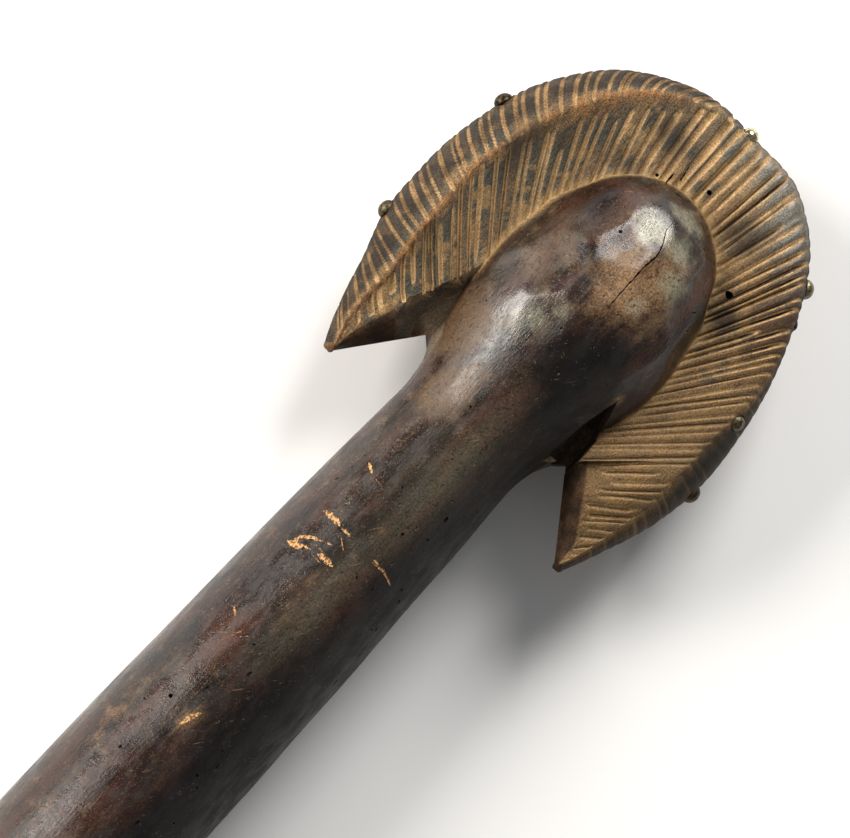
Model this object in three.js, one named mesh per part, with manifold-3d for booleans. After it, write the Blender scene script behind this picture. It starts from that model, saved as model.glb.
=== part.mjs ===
// A hand-carved hardwood sceptre. A thick round staff swells into an egg-shaped knob, and a grooved horseshoe
// crest frames the knob and ends in two horns that sweep back beside the neck. Staff, knob and crest are one
// piece of wood. Small domed tacks are driven into the crest's rim.
// It lies on its back: the staff runs along X with the head at +X, the carved front looks up along Z, and
// worn flats under the staff and the knob keep it from rolling. The origin is the middle of its underside.
import * as THREE from "three";
import { mergeVertices } from "three/addons/utils/BufferGeometryUtils.js";
import Module from "manifold-3d";

const wasm = await Module();
wasm.setup();
const { lerp, smoothstep, degToRad, clamp } = THREE.MathUtils;

// Sizes in millimetres. While the wood is shaped, x runs from the line of the horn tips towards the crest's
// apex, and z = 0 is the plane through the staff's axis and the crest's rim.
const TOTAL_LENGTH = 560;
const HEAD_LENGTH = 101;

const NECK_DIAMETER = 33.5;
const GRIP_DIAMETER = 40;
const BUTT_DIAMETER = 34;
const GRIP_FROM_NECK = 140; // from the horn tips back to where the staff is thickest
const BUTT_ROUNDING = 4;

const KNOB_DIAMETER = 50;
const KNOB_CENTRE = 46;
const KNOB_END = 81.5;
const NECK_END = 4; // where the neck starts to swell into the knob

const STAFF_FLAT_DEPTH = 0.8; // how much is worn off the thickest part of the staff where it lies
const KNOB_FLAT_DEPTH = 0.55;

const CREST_HALF_WIDTH = 47;
const CREST_WIDEST = 38;
const CREST_SQUARENESS = 2.4; // of the shoulders: 2 is an ellipse, more is squarer
const HORN_SWEEP = 61; // half-length of the ellipse that the horns follow
const HORN_TIP_WIDTH = 2.5;
const HORN_NOSE = 1.6; // how far the blunt tip stands out beyond the last carved section
const HORN_ROOT = 18; // where the underside of a horn meets the flared root
const ROOT_FLARE = 4.2; // how far the crest's root stands out from the neck
const ROOT_THICKNESS = 19.5;
const CORE_HALF_WIDTH = 11; // inside the knob, between the hidden ends of the left and right grooves

const RIDGE_HEIGHT = { left: 11, apex: 8, right: 9.2 };
const RIDGE_INSET = { left: 7.7, apex: 2.3, right: 6.3 };
const RIDGE_LEAVES_RIM = { left: [-0.05, 0.42], right: [0.42, 0.68] }; // shares of the way to the horn tip
const FACE_INNER_HEIGHT = 6.8;
const FACE_BULGE = { left: -0.9, right: 1.3 }; // dished on the left of the knob, rounded on the right
const UNDERCUT = { left: 7.5, right: 4 }; // bevel of the horns' undersides
const TAPER_START = 0.72; // share of the way to the horn tip where the ridge starts to fall
const TIP_HEIGHT_SHARE = 0.34;
const TIP_INSET_SHARE = 0.26;

const GROOVES = { left: 34, right: 44 };
const GROOVE_DEPTH = 0.9;
const GROOVE_DEPTH_ON_RIDGE = { left: 0.15, right: 0.65 }; // on the left a worn plain strip runs along it
const GROOVE_DEPTH_ON_RIM = 0.5;
const GROOVE_SWEEP = 52; // degrees from the staff's axis at the horn tips, 0 at the apex

const TACK_HEAD_HEIGHT_SHARE = 0.42; // of the head's diameter
const TACK_SHANK_DIAMETER = 1.3;
const TACK_SHANK_LENGTH = 7;
const TACK_CLEARANCE = 0.3;
const TACK_SEAT_DEPTH = 0.3;

const STAFF_SIDES = 40;
const TACK_SIDES = 12;
const SMALLEST_EDGE = 0.02; // slivers that the cuts leave are closed up to this size

// Where each tack sits: its share of the way from the apex to a horn tip, left positive, and how far it leans
// from the rim towards the front, in degrees.
const TACKS = [
  { name: "tack_left_horn", along: 0.745, lean: 0, diameter: 4.6 },
  { name: "tack_left_shoulder", along: 0.465, lean: 0, diameter: 4.6 },
  { name: "tack_apex", along: -0.005, lean: 38, diameter: 4.2 },
  { name: "tack_right_shoulder", along: -0.305, lean: 6, diameter: 4.6 },
  { name: "tack_right_side", along: -0.37, lean: -14, diameter: 3.4 },
  { name: "tack_right_ridge", along: -0.59, lean: 50, diameter: 3.8 },
  { name: "tack_right_horn", along: -0.73, lean: 0, diameter: 4.6 },
];

// Worked out from the sizes above.
const BUTT = HEAD_LENGTH - TOTAL_LENGTH;
const GRIP = -GRIP_FROM_NECK;
const REST_DEPTH = GRIP_DIAMETER / 2 - STAFF_FLAT_DEPTH;
const KNOB_BACK_SHARE = (REST_DEPTH + KNOB_FLAT_DEPTH) / (KNOB_DIAMETER / 2); // the knob's back is flatter
const TIP_ANGLE = Math.acos(-CREST_WIDEST / HORN_SWEEP);
const ROOT_HALF_WIDTH = NECK_DIAMETER / 2 + ROOT_FLARE;
const UNDERSIDE_AT_TIP = CREST_HALF_WIDTH * Math.sin(TIP_ANGLE) - HORN_TIP_WIDTH;

// A closed geometry as a manifold solid.
function solidOf(geometry) {
  const bare = geometry.clone();
  bare.deleteAttribute("normal");
  bare.deleteAttribute("uv");
  const merged = mergeVertices(bare, 1e-3);
  return new wasm.Manifold(
    new wasm.Mesh({
      numProp: 3,
      vertProperties: merged.attributes.position.array,
      triVerts: new Uint32Array(merged.index.array),
    }),
  );
}

function geometryOf(solid) {
  const mesh = solid.getMesh();
  const geometry = new THREE.BufferGeometry();
  geometry.setAttribute("position", new THREE.BufferAttribute(new Float32Array(mesh.vertProperties), 3));
  geometry.setIndex(new THREE.BufferAttribute(new Uint32Array(mesh.triVerts), 1));
  return geometry;
}

// A turned solid along +X from a profile of x and radius pairs.
function turned(profile, sides) {
  const points = profile.map(([x, radius]) => new THREE.Vector2(radius, x));
  return new THREE.LatheGeometry(points, sides).rotateZ(-Math.PI / 2);
}

function staffRadius(x) {
  if (x < GRIP) {
    return lerp(BUTT_DIAMETER, GRIP_DIAMETER, smoothstep(x, BUTT, GRIP)) / 2;
  }
  const share = (NECK_END - x) / (NECK_END - GRIP);
  return lerp(NECK_DIAMETER, GRIP_DIAMETER, Math.sin((share * Math.PI) / 2)) / 2;
}

function knobRadius(x) {
  const swell = smoothstep(x, NECK_END, 0.9 * KNOB_CENTRE);
  return lerp(NECK_DIAMETER, KNOB_DIAMETER, swell) / 2;
}

// The staff and knob in one turned form, with the knob's back pressed flatter.
function staffAndKnob() {
  const radius = staffRadius(BUTT);
  const corner = 0.3 * BUTT_ROUNDING;
  const profile = [
    [BUTT, 0],
    [BUTT, radius - BUTT_ROUNDING],
    [BUTT + corner, radius - corner],
  ];
  const staffSteps = 11;
  for (let i = 0; i < staffSteps; i += 1) {
    const x = lerp(BUTT + BUTT_ROUNDING, NECK_END, i / staffSteps);
    profile.push([x, staffRadius(x)]);
  }
  const neckSteps = 6;
  for (let i = 0; i < neckSteps; i += 1) {
    const x = lerp(NECK_END, KNOB_CENTRE, i / neckSteps);
    profile.push([x, knobRadius(x)]);
  }
  const domeSteps = 8;
  for (let i = 0; i < domeSteps; i += 1) {
    const angle = (i / domeSteps) * (Math.PI / 2);
    profile.push([lerp(KNOB_CENTRE, KNOB_END, Math.sin(angle)), (KNOB_DIAMETER / 2) * Math.cos(angle)]);
  }
  profile.push([KNOB_END, 0]);
  const geometry = turned(profile, STAFF_SIDES);
  const position = geometry.attributes.position;
  for (let i = 0; i < position.count; i += 1) {
    if (position.getZ(i) < 0) {
      const flatter = lerp(1, KNOB_BACK_SHARE, smoothstep(position.getX(i), 0, KNOB_CENTRE));
      position.setZ(i, position.getZ(i) * flatter);
    }
  }
  return geometry;
}

// The flattened cone by which the crest's root grows out of the neck.
function crestRoot() {
  const start = NECK_END / 2;
  const profile = [
    [start, 0],
    [start, ROOT_HALF_WIDTH - 1.2 * ROOT_FLARE],
    [HORN_ROOT, ROOT_HALF_WIDTH],
    [KNOB_CENTRE, ROOT_HALF_WIDTH],
    [KNOB_CENTRE, 0],
  ];
  return turned(profile, STAFF_SIDES).scale(1, 1, ROOT_THICKNESS / (2 * ROOT_HALF_WIDTH));
}

// The crest's rim in plan, from the right horn tip round the apex to the left horn tip: an ellipse along the
// horns and a squarer one round the head.
class RimCurve extends THREE.Curve {
  getPoint(t, target = new THREE.Vector3()) {
    const angle = lerp(-TIP_ANGLE, TIP_ANGLE, t);
    const cos = Math.cos(angle);
    const sin = Math.sin(angle);
    if (cos < 0) {
      return target.set(CREST_WIDEST + HORN_SWEEP * cos, CREST_HALF_WIDTH * sin, 0);
    }
    const power = 2 / CREST_SQUARENESS;
    const x = lerp(CREST_WIDEST, HEAD_LENGTH, cos ** power);
    return target.set(x, CREST_HALF_WIDTH * Math.sign(sin) * Math.abs(sin) ** power, 0);
  }
}

const rim = new RimCurve();
rim.arcLengthDivisions = 1000;

// From here on, "along" is the share of the way from the apex to a horn tip: 1 is the left tip, -1 the right.
function rimPoint(along) {
  return rim.getPointAt(clamp((along + 1) / 2, 0, 1));
}

function rimNormal(along) {
  const step = 0.01;
  const ahead = rimPoint(along + step);
  const behind = rimPoint(along - step);
  const tangent = ahead.sub(behind).normalize();
  return new THREE.Vector3(tangent.y, -tangent.x, 0);
}

function ofSide(values, along) {
  return along > 0 ? values.left : values.right;
}

// 1 over most of the crest, falling to a share of that at the horn tips.
function tipTaper(along, atTip) {
  return lerp(1, atTip, smoothstep(Math.abs(along), TAPER_START, 1));
}

// How far the front ridge keeps off the rim: on the whole left side, and on the right only beside the horn.
function ridgeInset(along) {
  const opening = smoothstep(Math.abs(along), ...ofSide(RIDGE_LEAVES_RIM, along));
  return lerp(RIDGE_INSET.apex, ofSide(RIDGE_INSET, along), opening) * tipTaper(along, TIP_INSET_SHARE);
}

function ridgeHeight(along) {
  const shoulder = smoothstep(Math.abs(along), 0, 0.45);
  return lerp(RIDGE_HEIGHT.apex, ofSide(RIDGE_HEIGHT, along), shoulder) * tipTaper(along, TIP_HEIGHT_SHARE);
}

// The way back along a groove from the ridge to the crest's inner edge, which is the underside of a horn, or
// else a core hidden inside the knob.
function wayInward(along, ridge) {
  const sweep = degToRad(GROOVE_SWEEP) * Math.sin((along * Math.PI) / 2);
  const back = new THREE.Vector3(-Math.cos(sweep), -Math.sin(sweep), 0);
  const side = Math.sign(along) || 1;
  const tip = new THREE.Vector3(0, side * UNDERSIDE_AT_TIP, 0);
  const root = new THREE.Vector3(HORN_ROOT, side * ROOT_HALF_WIDTH, 0);
  const normal = new THREE.Vector3(tip.y - root.y, root.x - tip.x, 0);
  const toUnderside = tip.sub(ridge).dot(normal) / back.dot(normal);
  const onHorn = ridge.x + back.x * toUnderside < HORN_ROOT;
  const length = onHorn ? Math.max(HORN_TIP_WIDTH / 3, toUnderside) : CREST_HALF_WIDTH - CORE_HALF_WIDTH;
  return { back, length, undercut: onHorn ? Math.min(ofSide(UNDERCUT, along), length / 2) : 0 };
}

// One closed section of the crest: from the inner edge over the front to the rim, and back behind. The back
// is a copy of the front.
function crestSection(along, isGroove) {
  const outward = rimNormal(along);
  const inset = ridgeInset(along);
  const height = ridgeHeight(along);
  const depth = isGroove ? GROOVE_DEPTH : 0;
  const edge = rimPoint(along);
  const ridge = edge.clone().addScaledVector(outward, -inset);
  const { back, length, undercut } = wayInward(along, ridge);
  const innerHeight = Math.min(FACE_INNER_HEIGHT, 0.85 * height);
  const bulge = ofSide(FACE_BULGE, along) * smoothstep(Math.abs(along), 0, 0.3) * tipTaper(along, 0);

  const onFace = (share, depthShare) => {
    const z = lerp(innerHeight, height, share) + bulge * Math.sin(Math.PI * share);
    return ridge
      .clone()
      .addScaledVector(back, (length - undercut) * (1 - share))
      .setZ(z - depth * depthShare);
  };
  const onBand = (share, z) => {
    return edge.clone().addScaledVector(outward, -share * inset - depth * GROOVE_DEPTH_ON_RIM).setZ(z);
  };
  const front = [
    onFace(0, 0.6),
    onFace(0.3, 1),
    onFace(0.6, 1),
    onFace(0.88, 1),
    onFace(1, ofSide(GROOVE_DEPTH_ON_RIDGE, along)),
    onBand(0.3, 0.55 * height),
  ];
  const rear = front.map((point) => point.clone().setZ(-point.z)).reverse();
  const inner = ridge.clone().addScaledVector(back, length);
  return [inner, ...front, onBand(0, 0), ...rear];
}

// The crest, lofted through its sections, two for each groove, with a blunt nose at each horn tip.
function crest() {
  const sections = [];
  const addSide = (grooves, from, to) => {
    const steps = 2 * grooves;
    for (let i = 0; i < steps; i += 1) {
      sections.push(crestSection(lerp(from, to, i / steps), i % 2 === 1));
    }
  };
  addSide(GROOVES.right, -1, 0);
  addSide(GROOVES.left, 0, 1);
  sections.push(crestSection(1, false));

  const ring = sections[0].length;
  const points = sections.flat();
  const faces = [];
  for (let s = 0; s + 1 < sections.length; s += 1) {
    for (let i = 0; i < ring; i += 1) {
      const a = s * ring + i;
      const b = s * ring + ((i + 1) % ring);
      faces.push(a, b, a + ring, b, b + ring, a + ring);
    }
  }
  const addNose = (section, first) => {
    const nose = new THREE.Vector3(-HORN_NOSE, 0, 0);
    section.forEach((point) => nose.addScaledVector(point, 1 / ring));
    points.push(nose);
    for (let i = 0; i < ring; i += 1) {
      const a = first + i;
      const b = first + ((i + 1) % ring);
      faces.push(...(first === 0 ? [b, a] : [a, b]), points.length - 1);
    }
  };
  addNose(sections[0], 0);
  addNose(sections[sections.length - 1], (sections.length - 1) * ring);
  return new THREE.BufferGeometry().setFromPoints(points).setIndex(faces);
}

// A tack along +X: a pointed shank below x = 0 and a domed head above it.
function tackGeometry({ diameter }) {
  const height = TACK_HEAD_HEIGHT_SHARE * diameter;
  const rimHeight = 0.2 * height;
  const profile = [
    [-TACK_SHANK_LENGTH, 0],
    [-TACK_SHANK_LENGTH + 2 * TACK_SHANK_DIAMETER, TACK_SHANK_DIAMETER / 2],
    [0, TACK_SHANK_DIAMETER / 2],
    [0, diameter / 2],
  ];
  const domeSteps = 3;
  for (let i = 0; i < domeSteps; i += 1) {
    const angle = (i / domeSteps) * (Math.PI / 2);
    profile.push([lerp(rimHeight, height, Math.sin(angle)), (diameter / 2) * Math.cos(angle)]);
  }
  profile.push([height, 0]);
  return turned(profile, TACK_SIDES);
}

// The hole and the spot face that a tack sits in.
function tackSeatGeometry({ diameter }) {
  const shank = TACK_SHANK_DIAMETER / 2 + TACK_CLEARANCE;
  const head = diameter / 2 + TACK_CLEARANCE;
  const profile = [
    [-TACK_SHANK_LENGTH - TACK_CLEARANCE, 0],
    [-TACK_SHANK_LENGTH - TACK_CLEARANCE, shank],
    [-TACK_CLEARANCE, shank],
    [-TACK_CLEARANCE, head],
    [diameter, head],
    [diameter, 0],
  ];
  return turned(profile, TACK_SIDES);
}

// A tack's place on the crest: on the rim, or up on the band where it leans towards the front.
function tackPlace({ along, lean }) {
  const rise = Math.sin(degToRad(lean));
  const outward = rimNormal(along);
  const seat = rimPoint(along)
    .addScaledVector(outward, -ridgeInset(along) * rise * rise - TACK_SEAT_DEPTH)
    .setZ(ridgeHeight(along) * rise);
  const axis = outward.multiplyScalar(Math.cos(degToRad(lean))).setZ(rise);
  const turn = new THREE.Quaternion().setFromUnitVectors(new THREE.Vector3(1, 0, 0), axis);
  return new THREE.Matrix4().compose(seat, turn, new THREE.Vector3(1, 1, 1));
}

function carvedWood() {
  const below = new THREE.BoxGeometry(2 * TOTAL_LENGTH, 4 * CREST_HALF_WIDTH, KNOB_DIAMETER);
  below.translate(0, 0, -REST_DEPTH - KNOB_DIAMETER / 2);
  const shaped = solidOf(staffAndKnob()).add(solidOf(crestRoot())).add(solidOf(crest()));
  const seats = TACKS.map((tack) => solidOf(tackSeatGeometry(tack).applyMatrix4(tackPlace(tack))));
  const cut = seats.reduce((wood, seat) => wood.subtract(seat), shaped.subtract(solidOf(below)));
  return geometryOf(cut.simplify(SMALLEST_EDGE));
}

const patinatedWood = new THREE.MeshStandardMaterial({ color: 0x4a3325, roughness: 0.42, metalness: 0 });
const wornBrass = new THREE.MeshStandardMaterial({ color: 0x8a8468, roughness: 0.38, metalness: 1 });

const sceptre = new THREE.Group();
const wood = new THREE.Mesh(carvedWood(), patinatedWood);
wood.name = "carved_wood";
sceptre.add(wood);
TACKS.forEach((place) => {
  const tack = new THREE.Mesh(tackGeometry(place), wornBrass.clone());
  tack.name = place.name;
  tackPlace(place).decompose(tack.position, tack.quaternion, tack.scale);
  sceptre.add(tack);
});

const bounds = new THREE.Box3().setFromObject(sceptre, true);
const centre = bounds.getCenter(new THREE.Vector3());
sceptre.position.set(-centre.x, -centre.y, -bounds.min.z);

export default sceptre;
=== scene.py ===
"""A hand-carved hardwood sceptre, lying on its back on a pale floor, seen from above its head.

The wood is shaped in millimetres in the head's own frame: x runs from the line of the horn tips towards the
crest's apex, y towards the left horn and z out of the carved front. The CAD's box says where that frame lies.
"""

import math

import bmesh
import bpy
import numpy as np
from mathutils import Matrix, Quaternion, Vector
from mathutils.kdtree import KDTree


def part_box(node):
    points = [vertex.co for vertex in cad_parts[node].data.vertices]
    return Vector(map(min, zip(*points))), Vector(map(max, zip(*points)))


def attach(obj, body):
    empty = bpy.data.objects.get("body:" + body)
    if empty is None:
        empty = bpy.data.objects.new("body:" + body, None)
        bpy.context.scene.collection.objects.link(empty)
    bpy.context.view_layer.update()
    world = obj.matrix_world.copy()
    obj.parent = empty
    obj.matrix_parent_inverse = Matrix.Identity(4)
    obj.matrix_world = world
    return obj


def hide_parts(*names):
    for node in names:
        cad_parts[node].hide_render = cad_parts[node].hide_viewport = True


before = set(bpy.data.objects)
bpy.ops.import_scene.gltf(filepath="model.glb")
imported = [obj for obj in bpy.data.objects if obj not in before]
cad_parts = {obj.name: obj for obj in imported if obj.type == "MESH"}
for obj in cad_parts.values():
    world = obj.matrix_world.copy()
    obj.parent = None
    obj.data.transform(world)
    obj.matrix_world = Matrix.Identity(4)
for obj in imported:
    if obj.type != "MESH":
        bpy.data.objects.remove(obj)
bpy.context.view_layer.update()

MM = 0.001
RANDOM = np.random.default_rng(7)

# Driving sizes of the wood, in millimetres, as in the solids.
TOTAL_LENGTH = 560
HEAD_LENGTH = 101
NECK_DIAMETER = 33.5
GRIP_DIAMETER = 40
BUTT_DIAMETER = 34
GRIP_FROM_NECK = 140
BUTT_ROUNDING = 4
KNOB_DIAMETER = 50
KNOB_CENTRE = 46
KNOB_END = 81.5
NECK_END = 4
STAFF_FLAT_DEPTH = 0.8
KNOB_FLAT_DEPTH = 0.55
CREST_HALF_WIDTH = 47
CREST_WIDEST = 38
CREST_SQUARENESS = 2.4
HORN_SWEEP = 61
HORN_TIP_WIDTH = 2.5
HORN_NOSE = 1.6
HORN_ROOT = 18
ROOT_FLARE = 4.2
ROOT_THICKNESS = 19.5
CORE_HALF_WIDTH = 11
RIDGE_HEIGHT_AT_APEX = 8
RIDGE_INSET_AT_APEX = 2.3
FACE_INNER_HEIGHT = 6.8
TAPER_START = 0.72
TIP_HEIGHT_SHARE = 0.34
TIP_INSET_SHARE = 0.26
GROOVE_DEPTH = 0.9
GROOVE_SWEEP = 52

# What differs between the crest's two sides.
LEFT = {
    "ridge_height": 11,
    "ridge_inset": 7.7,
    "leaves_rim": (-0.05, 0.42),
    "bulge": -0.9,
    "undercut": 7.5,
    "grooves": 34,
    "groove_half_width": 0.33,
    "band_grooves": 42,
    "ridge_rounding": 0.8,
    "plain_strip": 4.2,
    "rim_notches": 0.32,
}
RIGHT = {
    "ridge_height": 9.2,
    "ridge_inset": 6.3,
    "leaves_rim": (0.42, 0.68),
    "bulge": 1.3,
    "undercut": 4,
    "grooves": 44,
    "groove_half_width": 0.5,
    "band_grooves": 44,
    "ridge_rounding": 4.2,
    "plain_strip": 0.0,
    "rim_notches": 0.2,
}

BUTT = HEAD_LENGTH - TOTAL_LENGTH
GRIP = -GRIP_FROM_NECK
REST_DEPTH = GRIP_DIAMETER / 2 - STAFF_FLAT_DEPTH
KNOB_BACK_SHARE = (REST_DEPTH + KNOB_FLAT_DEPTH) / (KNOB_DIAMETER / 2)
TIP_ANGLE = math.acos(-CREST_WIDEST / HORN_SWEEP)
ROOT_HALF_WIDTH = NECK_DIAMETER / 2 + ROOT_FLARE
UNDERSIDE_AT_TIP = CREST_HALF_WIDTH * math.sin(TIP_ANGLE) - HORN_TIP_WIDTH

# What the finished surface adds to the solids. Places along the rim run from 0 at the apex to 1 at a tip.
ROOT_START = 7
RIGHT_ROOT_SLIMMER = 1.0
# How far along the rim a groove of the left band leans on its way up to the ridge.
BAND_SLANT = 0.052
LEFT_BAND_GROOVE_HALF_WIDTH = 0.25
# Depth of the left and the right band's grooves, as a share of the face's.
BAND_DEPTH_SHARES = (0.75, 0.3)
REAR_DEPTH_SHARE = 0.7
# The plain strip beside the left ridge: where it widens, where it narrows again, and by how much.
STRIP_WIDENS = (0.04, 0.16)
STRIP_NARROWS = (0.36, 0.6)
STRIP_NARROWS_BY = 0.72
RIGHT_HORN_CRISPER = (0.46, 0.62)
RIGHT_SIDE_SHALLOWER = (0.3, 0.5)
# The most that the face's inner edge takes of the ridge's height, and the rounding of the face's length.
INNER_EDGE_SHARE = 0.85
ROUNDING_SHARE = 0.3
# How far the bevel beneath the face bulges out, as a share of its height.
BEVEL_FULLNESS = 0.28
# The point that the rounded band is drawn towards, as shares of its inset and its height.
BAND_DRAWN_TO = (0.1, 0.6)
# How much of a groove's depth is left on the plain strip, and on the left face in general.
STRIP_CUT_SHARE = 0.15
LEFT_CUT_SHARE = 0.8
LEFT_SIDE_FROM = 0.05
# Points across the bevel, the face, the rounded ridge and the band.
FRONT_SAMPLES = (4, 25, 5, 14)
REAR_SAMPLES = (3, 13, 3, 6)

WOOD_LOW, WOOD_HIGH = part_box("carved_wood")
HEAD_ORIGIN = np.array(
    [
        WOOD_LOW[0] / MM - BUTT,
        (WOOD_LOW[1] + WOOD_HIGH[1]) / 2 / MM,
        WOOD_LOW[2] / MM + REST_DEPTH,
    ]
)


def lerp(a, b, share):
    return a + (b - a) * share


def smoothstep(x, low, high):
    share = np.clip((x - low) / (high - low), 0, 1)
    return share * share * (3 - 2 * share)


def bump_at(x, centre, half_width):
    """1 at the centre, falling smoothly to 0 at half_width from it."""
    share = np.clip(1 - np.abs(x - centre) / half_width, 0, 1)
    return share * share * (3 - 2 * share)


def waves(x, wavelength, count=5):
    """A smooth random line through x, about -1 to 1, whose shortest waves are a wavelength long."""
    total = np.zeros_like(x, dtype=float)
    for k in range(count):
        stretch = 1 + 0.8 * k
        total += np.sin(2 * math.pi * x / (wavelength * stretch) + RANDOM.uniform(0, 2 * math.pi))
    return total / count * 1.6


# Materials


def linear(hex_colour):
    """A colour written as sRGB hex, in Blender's linear values."""
    channels = [int(hex_colour[i : i + 2], 16) / 255 for i in (1, 3, 5)]
    return tuple(c / 12.92 if c <= 0.04045 else ((c + 0.055) / 1.055) ** 2.4 for c in channels) + (1.0,)


def connect(node, links):
    """Gives each named input of a node a value or another node's output."""
    for key, value in links.items():
        if isinstance(value, bpy.types.NodeSocket):
            node.id_data.links.new(value, node.inputs[key])
        else:
            node.inputs[key].default_value = value


def add(tree, kind, links=None, **settings):
    """Adds a node with its settings; links maps an input to a value or to another node's output."""
    node = tree.nodes.new(kind)
    for key, value in settings.items():
        setattr(node, key, value)
    connect(node, links or {})
    return node


def new_material(name):
    """A new material with its node tree and its shader."""
    material = bpy.data.materials.new(name)
    material.use_nodes = True
    return material, material.node_tree, material.node_tree.nodes["Principled BSDF"]


def set_ramp(node, stops):
    ramp = node.color_ramp
    while len(ramp.elements) < len(stops):
        ramp.elements.new(0.5)
    for element, (position, colour) in zip(ramp.elements, stops):
        element.position = position
        element.color = linear(colour)
    return node.outputs["Color"]


# What a smooth fade is given: a value, where it starts and ends, and what it is at either end.
FADE_INPUTS = ("Value", "From Min", "From Max", "To Min", "To Max")
NOISE_ROUGHNESS = 0.6


def grain(tree, along_mm, across_mm, detail=4.0, offset=(0, 0, 0), turn=0, fade=None):
    """Noise drawn out along the staff, or turned from it, in streaks so many millimetres long and wide.

    Two like sizes make specks. A fade says between which values the noise fades, and to what at either end.
    """
    place = add(tree, "ShaderNodeTexCoord").outputs["Object"]
    if turn:
        place = add(tree, "ShaderNodeVectorRotate", {"Vector": place, "Angle": math.radians(turn)}).outputs[0]
    scale = (1 / (along_mm * MM), 1 / (across_mm * MM), 1 / (across_mm * MM))
    stretched = add(tree, "ShaderNodeMapping", {"Vector": place, "Scale": scale, "Location": offset})
    links = {"Vector": stretched.outputs["Vector"], "Scale": 1.0}
    links.update({"Detail": detail, "Roughness": NOISE_ROUGHNESS})
    noise = add(tree, "ShaderNodeTexNoise", links).outputs["Fac"]
    if fade:
        links = dict(zip(FADE_INPUTS, (noise, *fade)))
        return add(tree, "ShaderNodeMapRange", links, interpolation_type="SMOOTHSTEP").outputs[0]
    return noise


def uneven(tree, mask, noise, at_low, at_high, low=0, high=1):
    """A mask that keeps the share at_low of itself where the noise is low and at_high where it is high."""
    links = dict(zip(FADE_INPUTS, (noise, low, high, at_low, at_high)))
    share = add(tree, "ShaderNodeMapRange", links, interpolation_type="SMOOTHSTEP").outputs[0]
    return add(tree, "ShaderNodeMath", {0: mask, 1: share}, operation="MULTIPLY", use_clamp=True).outputs[0]


# How far noise reaches into a patch's mark, and between which sums of both the patch fades in.
PATCH_RAGGEDNESS = 1.1
PATCH_EDGE = (0.62, 1.25)


def ragged_patch(tree, mark, edge):
    """A patch's mark with a ragged edge and an uneven middle, both by the noise in edge."""
    reach = add(tree, "ShaderNodeMath", {0: edge, 1: PATCH_RAGGEDNESS}, operation="MULTIPLY", use_clamp=True)
    ragged = add(tree, "ShaderNodeMath", {0: mark, 1: reach.outputs[0]}, operation="ADD").outputs[0]
    links = dict(zip(FADE_INPUTS, (ragged, *PATCH_EDGE)))
    return add(tree, "ShaderNodeMapRange", links, interpolation_type="SMOOTHSTEP").outputs[0]


def weighed(tree, *parts, start=None):
    """Adds up parts, each times its weight, to what there is at the start; a negative weight takes away."""
    total = start
    for part, weight in parts:
        links = {0: part, 1: abs(weight)}
        part = add(tree, "ShaderNodeMath", links, operation="MULTIPLY", use_clamp=True).outputs[0]
        if total is None:
            total = part
        else:
            operation = "ADD" if weight > 0 else "SUBTRACT"
            links = {0: total, 1: part}
            total = add(tree, "ShaderNodeMath", links, operation=operation, use_clamp=True).outputs[0]
    return total


def strongest(tree, first, *others):
    """The strongest of several masks at every place."""
    for other in others:
        links = {0: first, 1: other}
        first = add(tree, "ShaderNodeMath", links, operation="MAXIMUM", use_clamp=True).outputs[0]
    return first


def coated(tree, ground, *coats):
    """Lays coats over a ground colour, each as a mask and a colour, which is a hex value or an output."""
    for mask, coat in coats:
        under, over = (linear(c) if isinstance(c, str) else c for c in (ground, coat))
        ground = add(tree, "ShaderNodeMix", {0: mask, 6: under, 7: over}, data_type="RGBA").outputs[2]
    return ground


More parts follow.
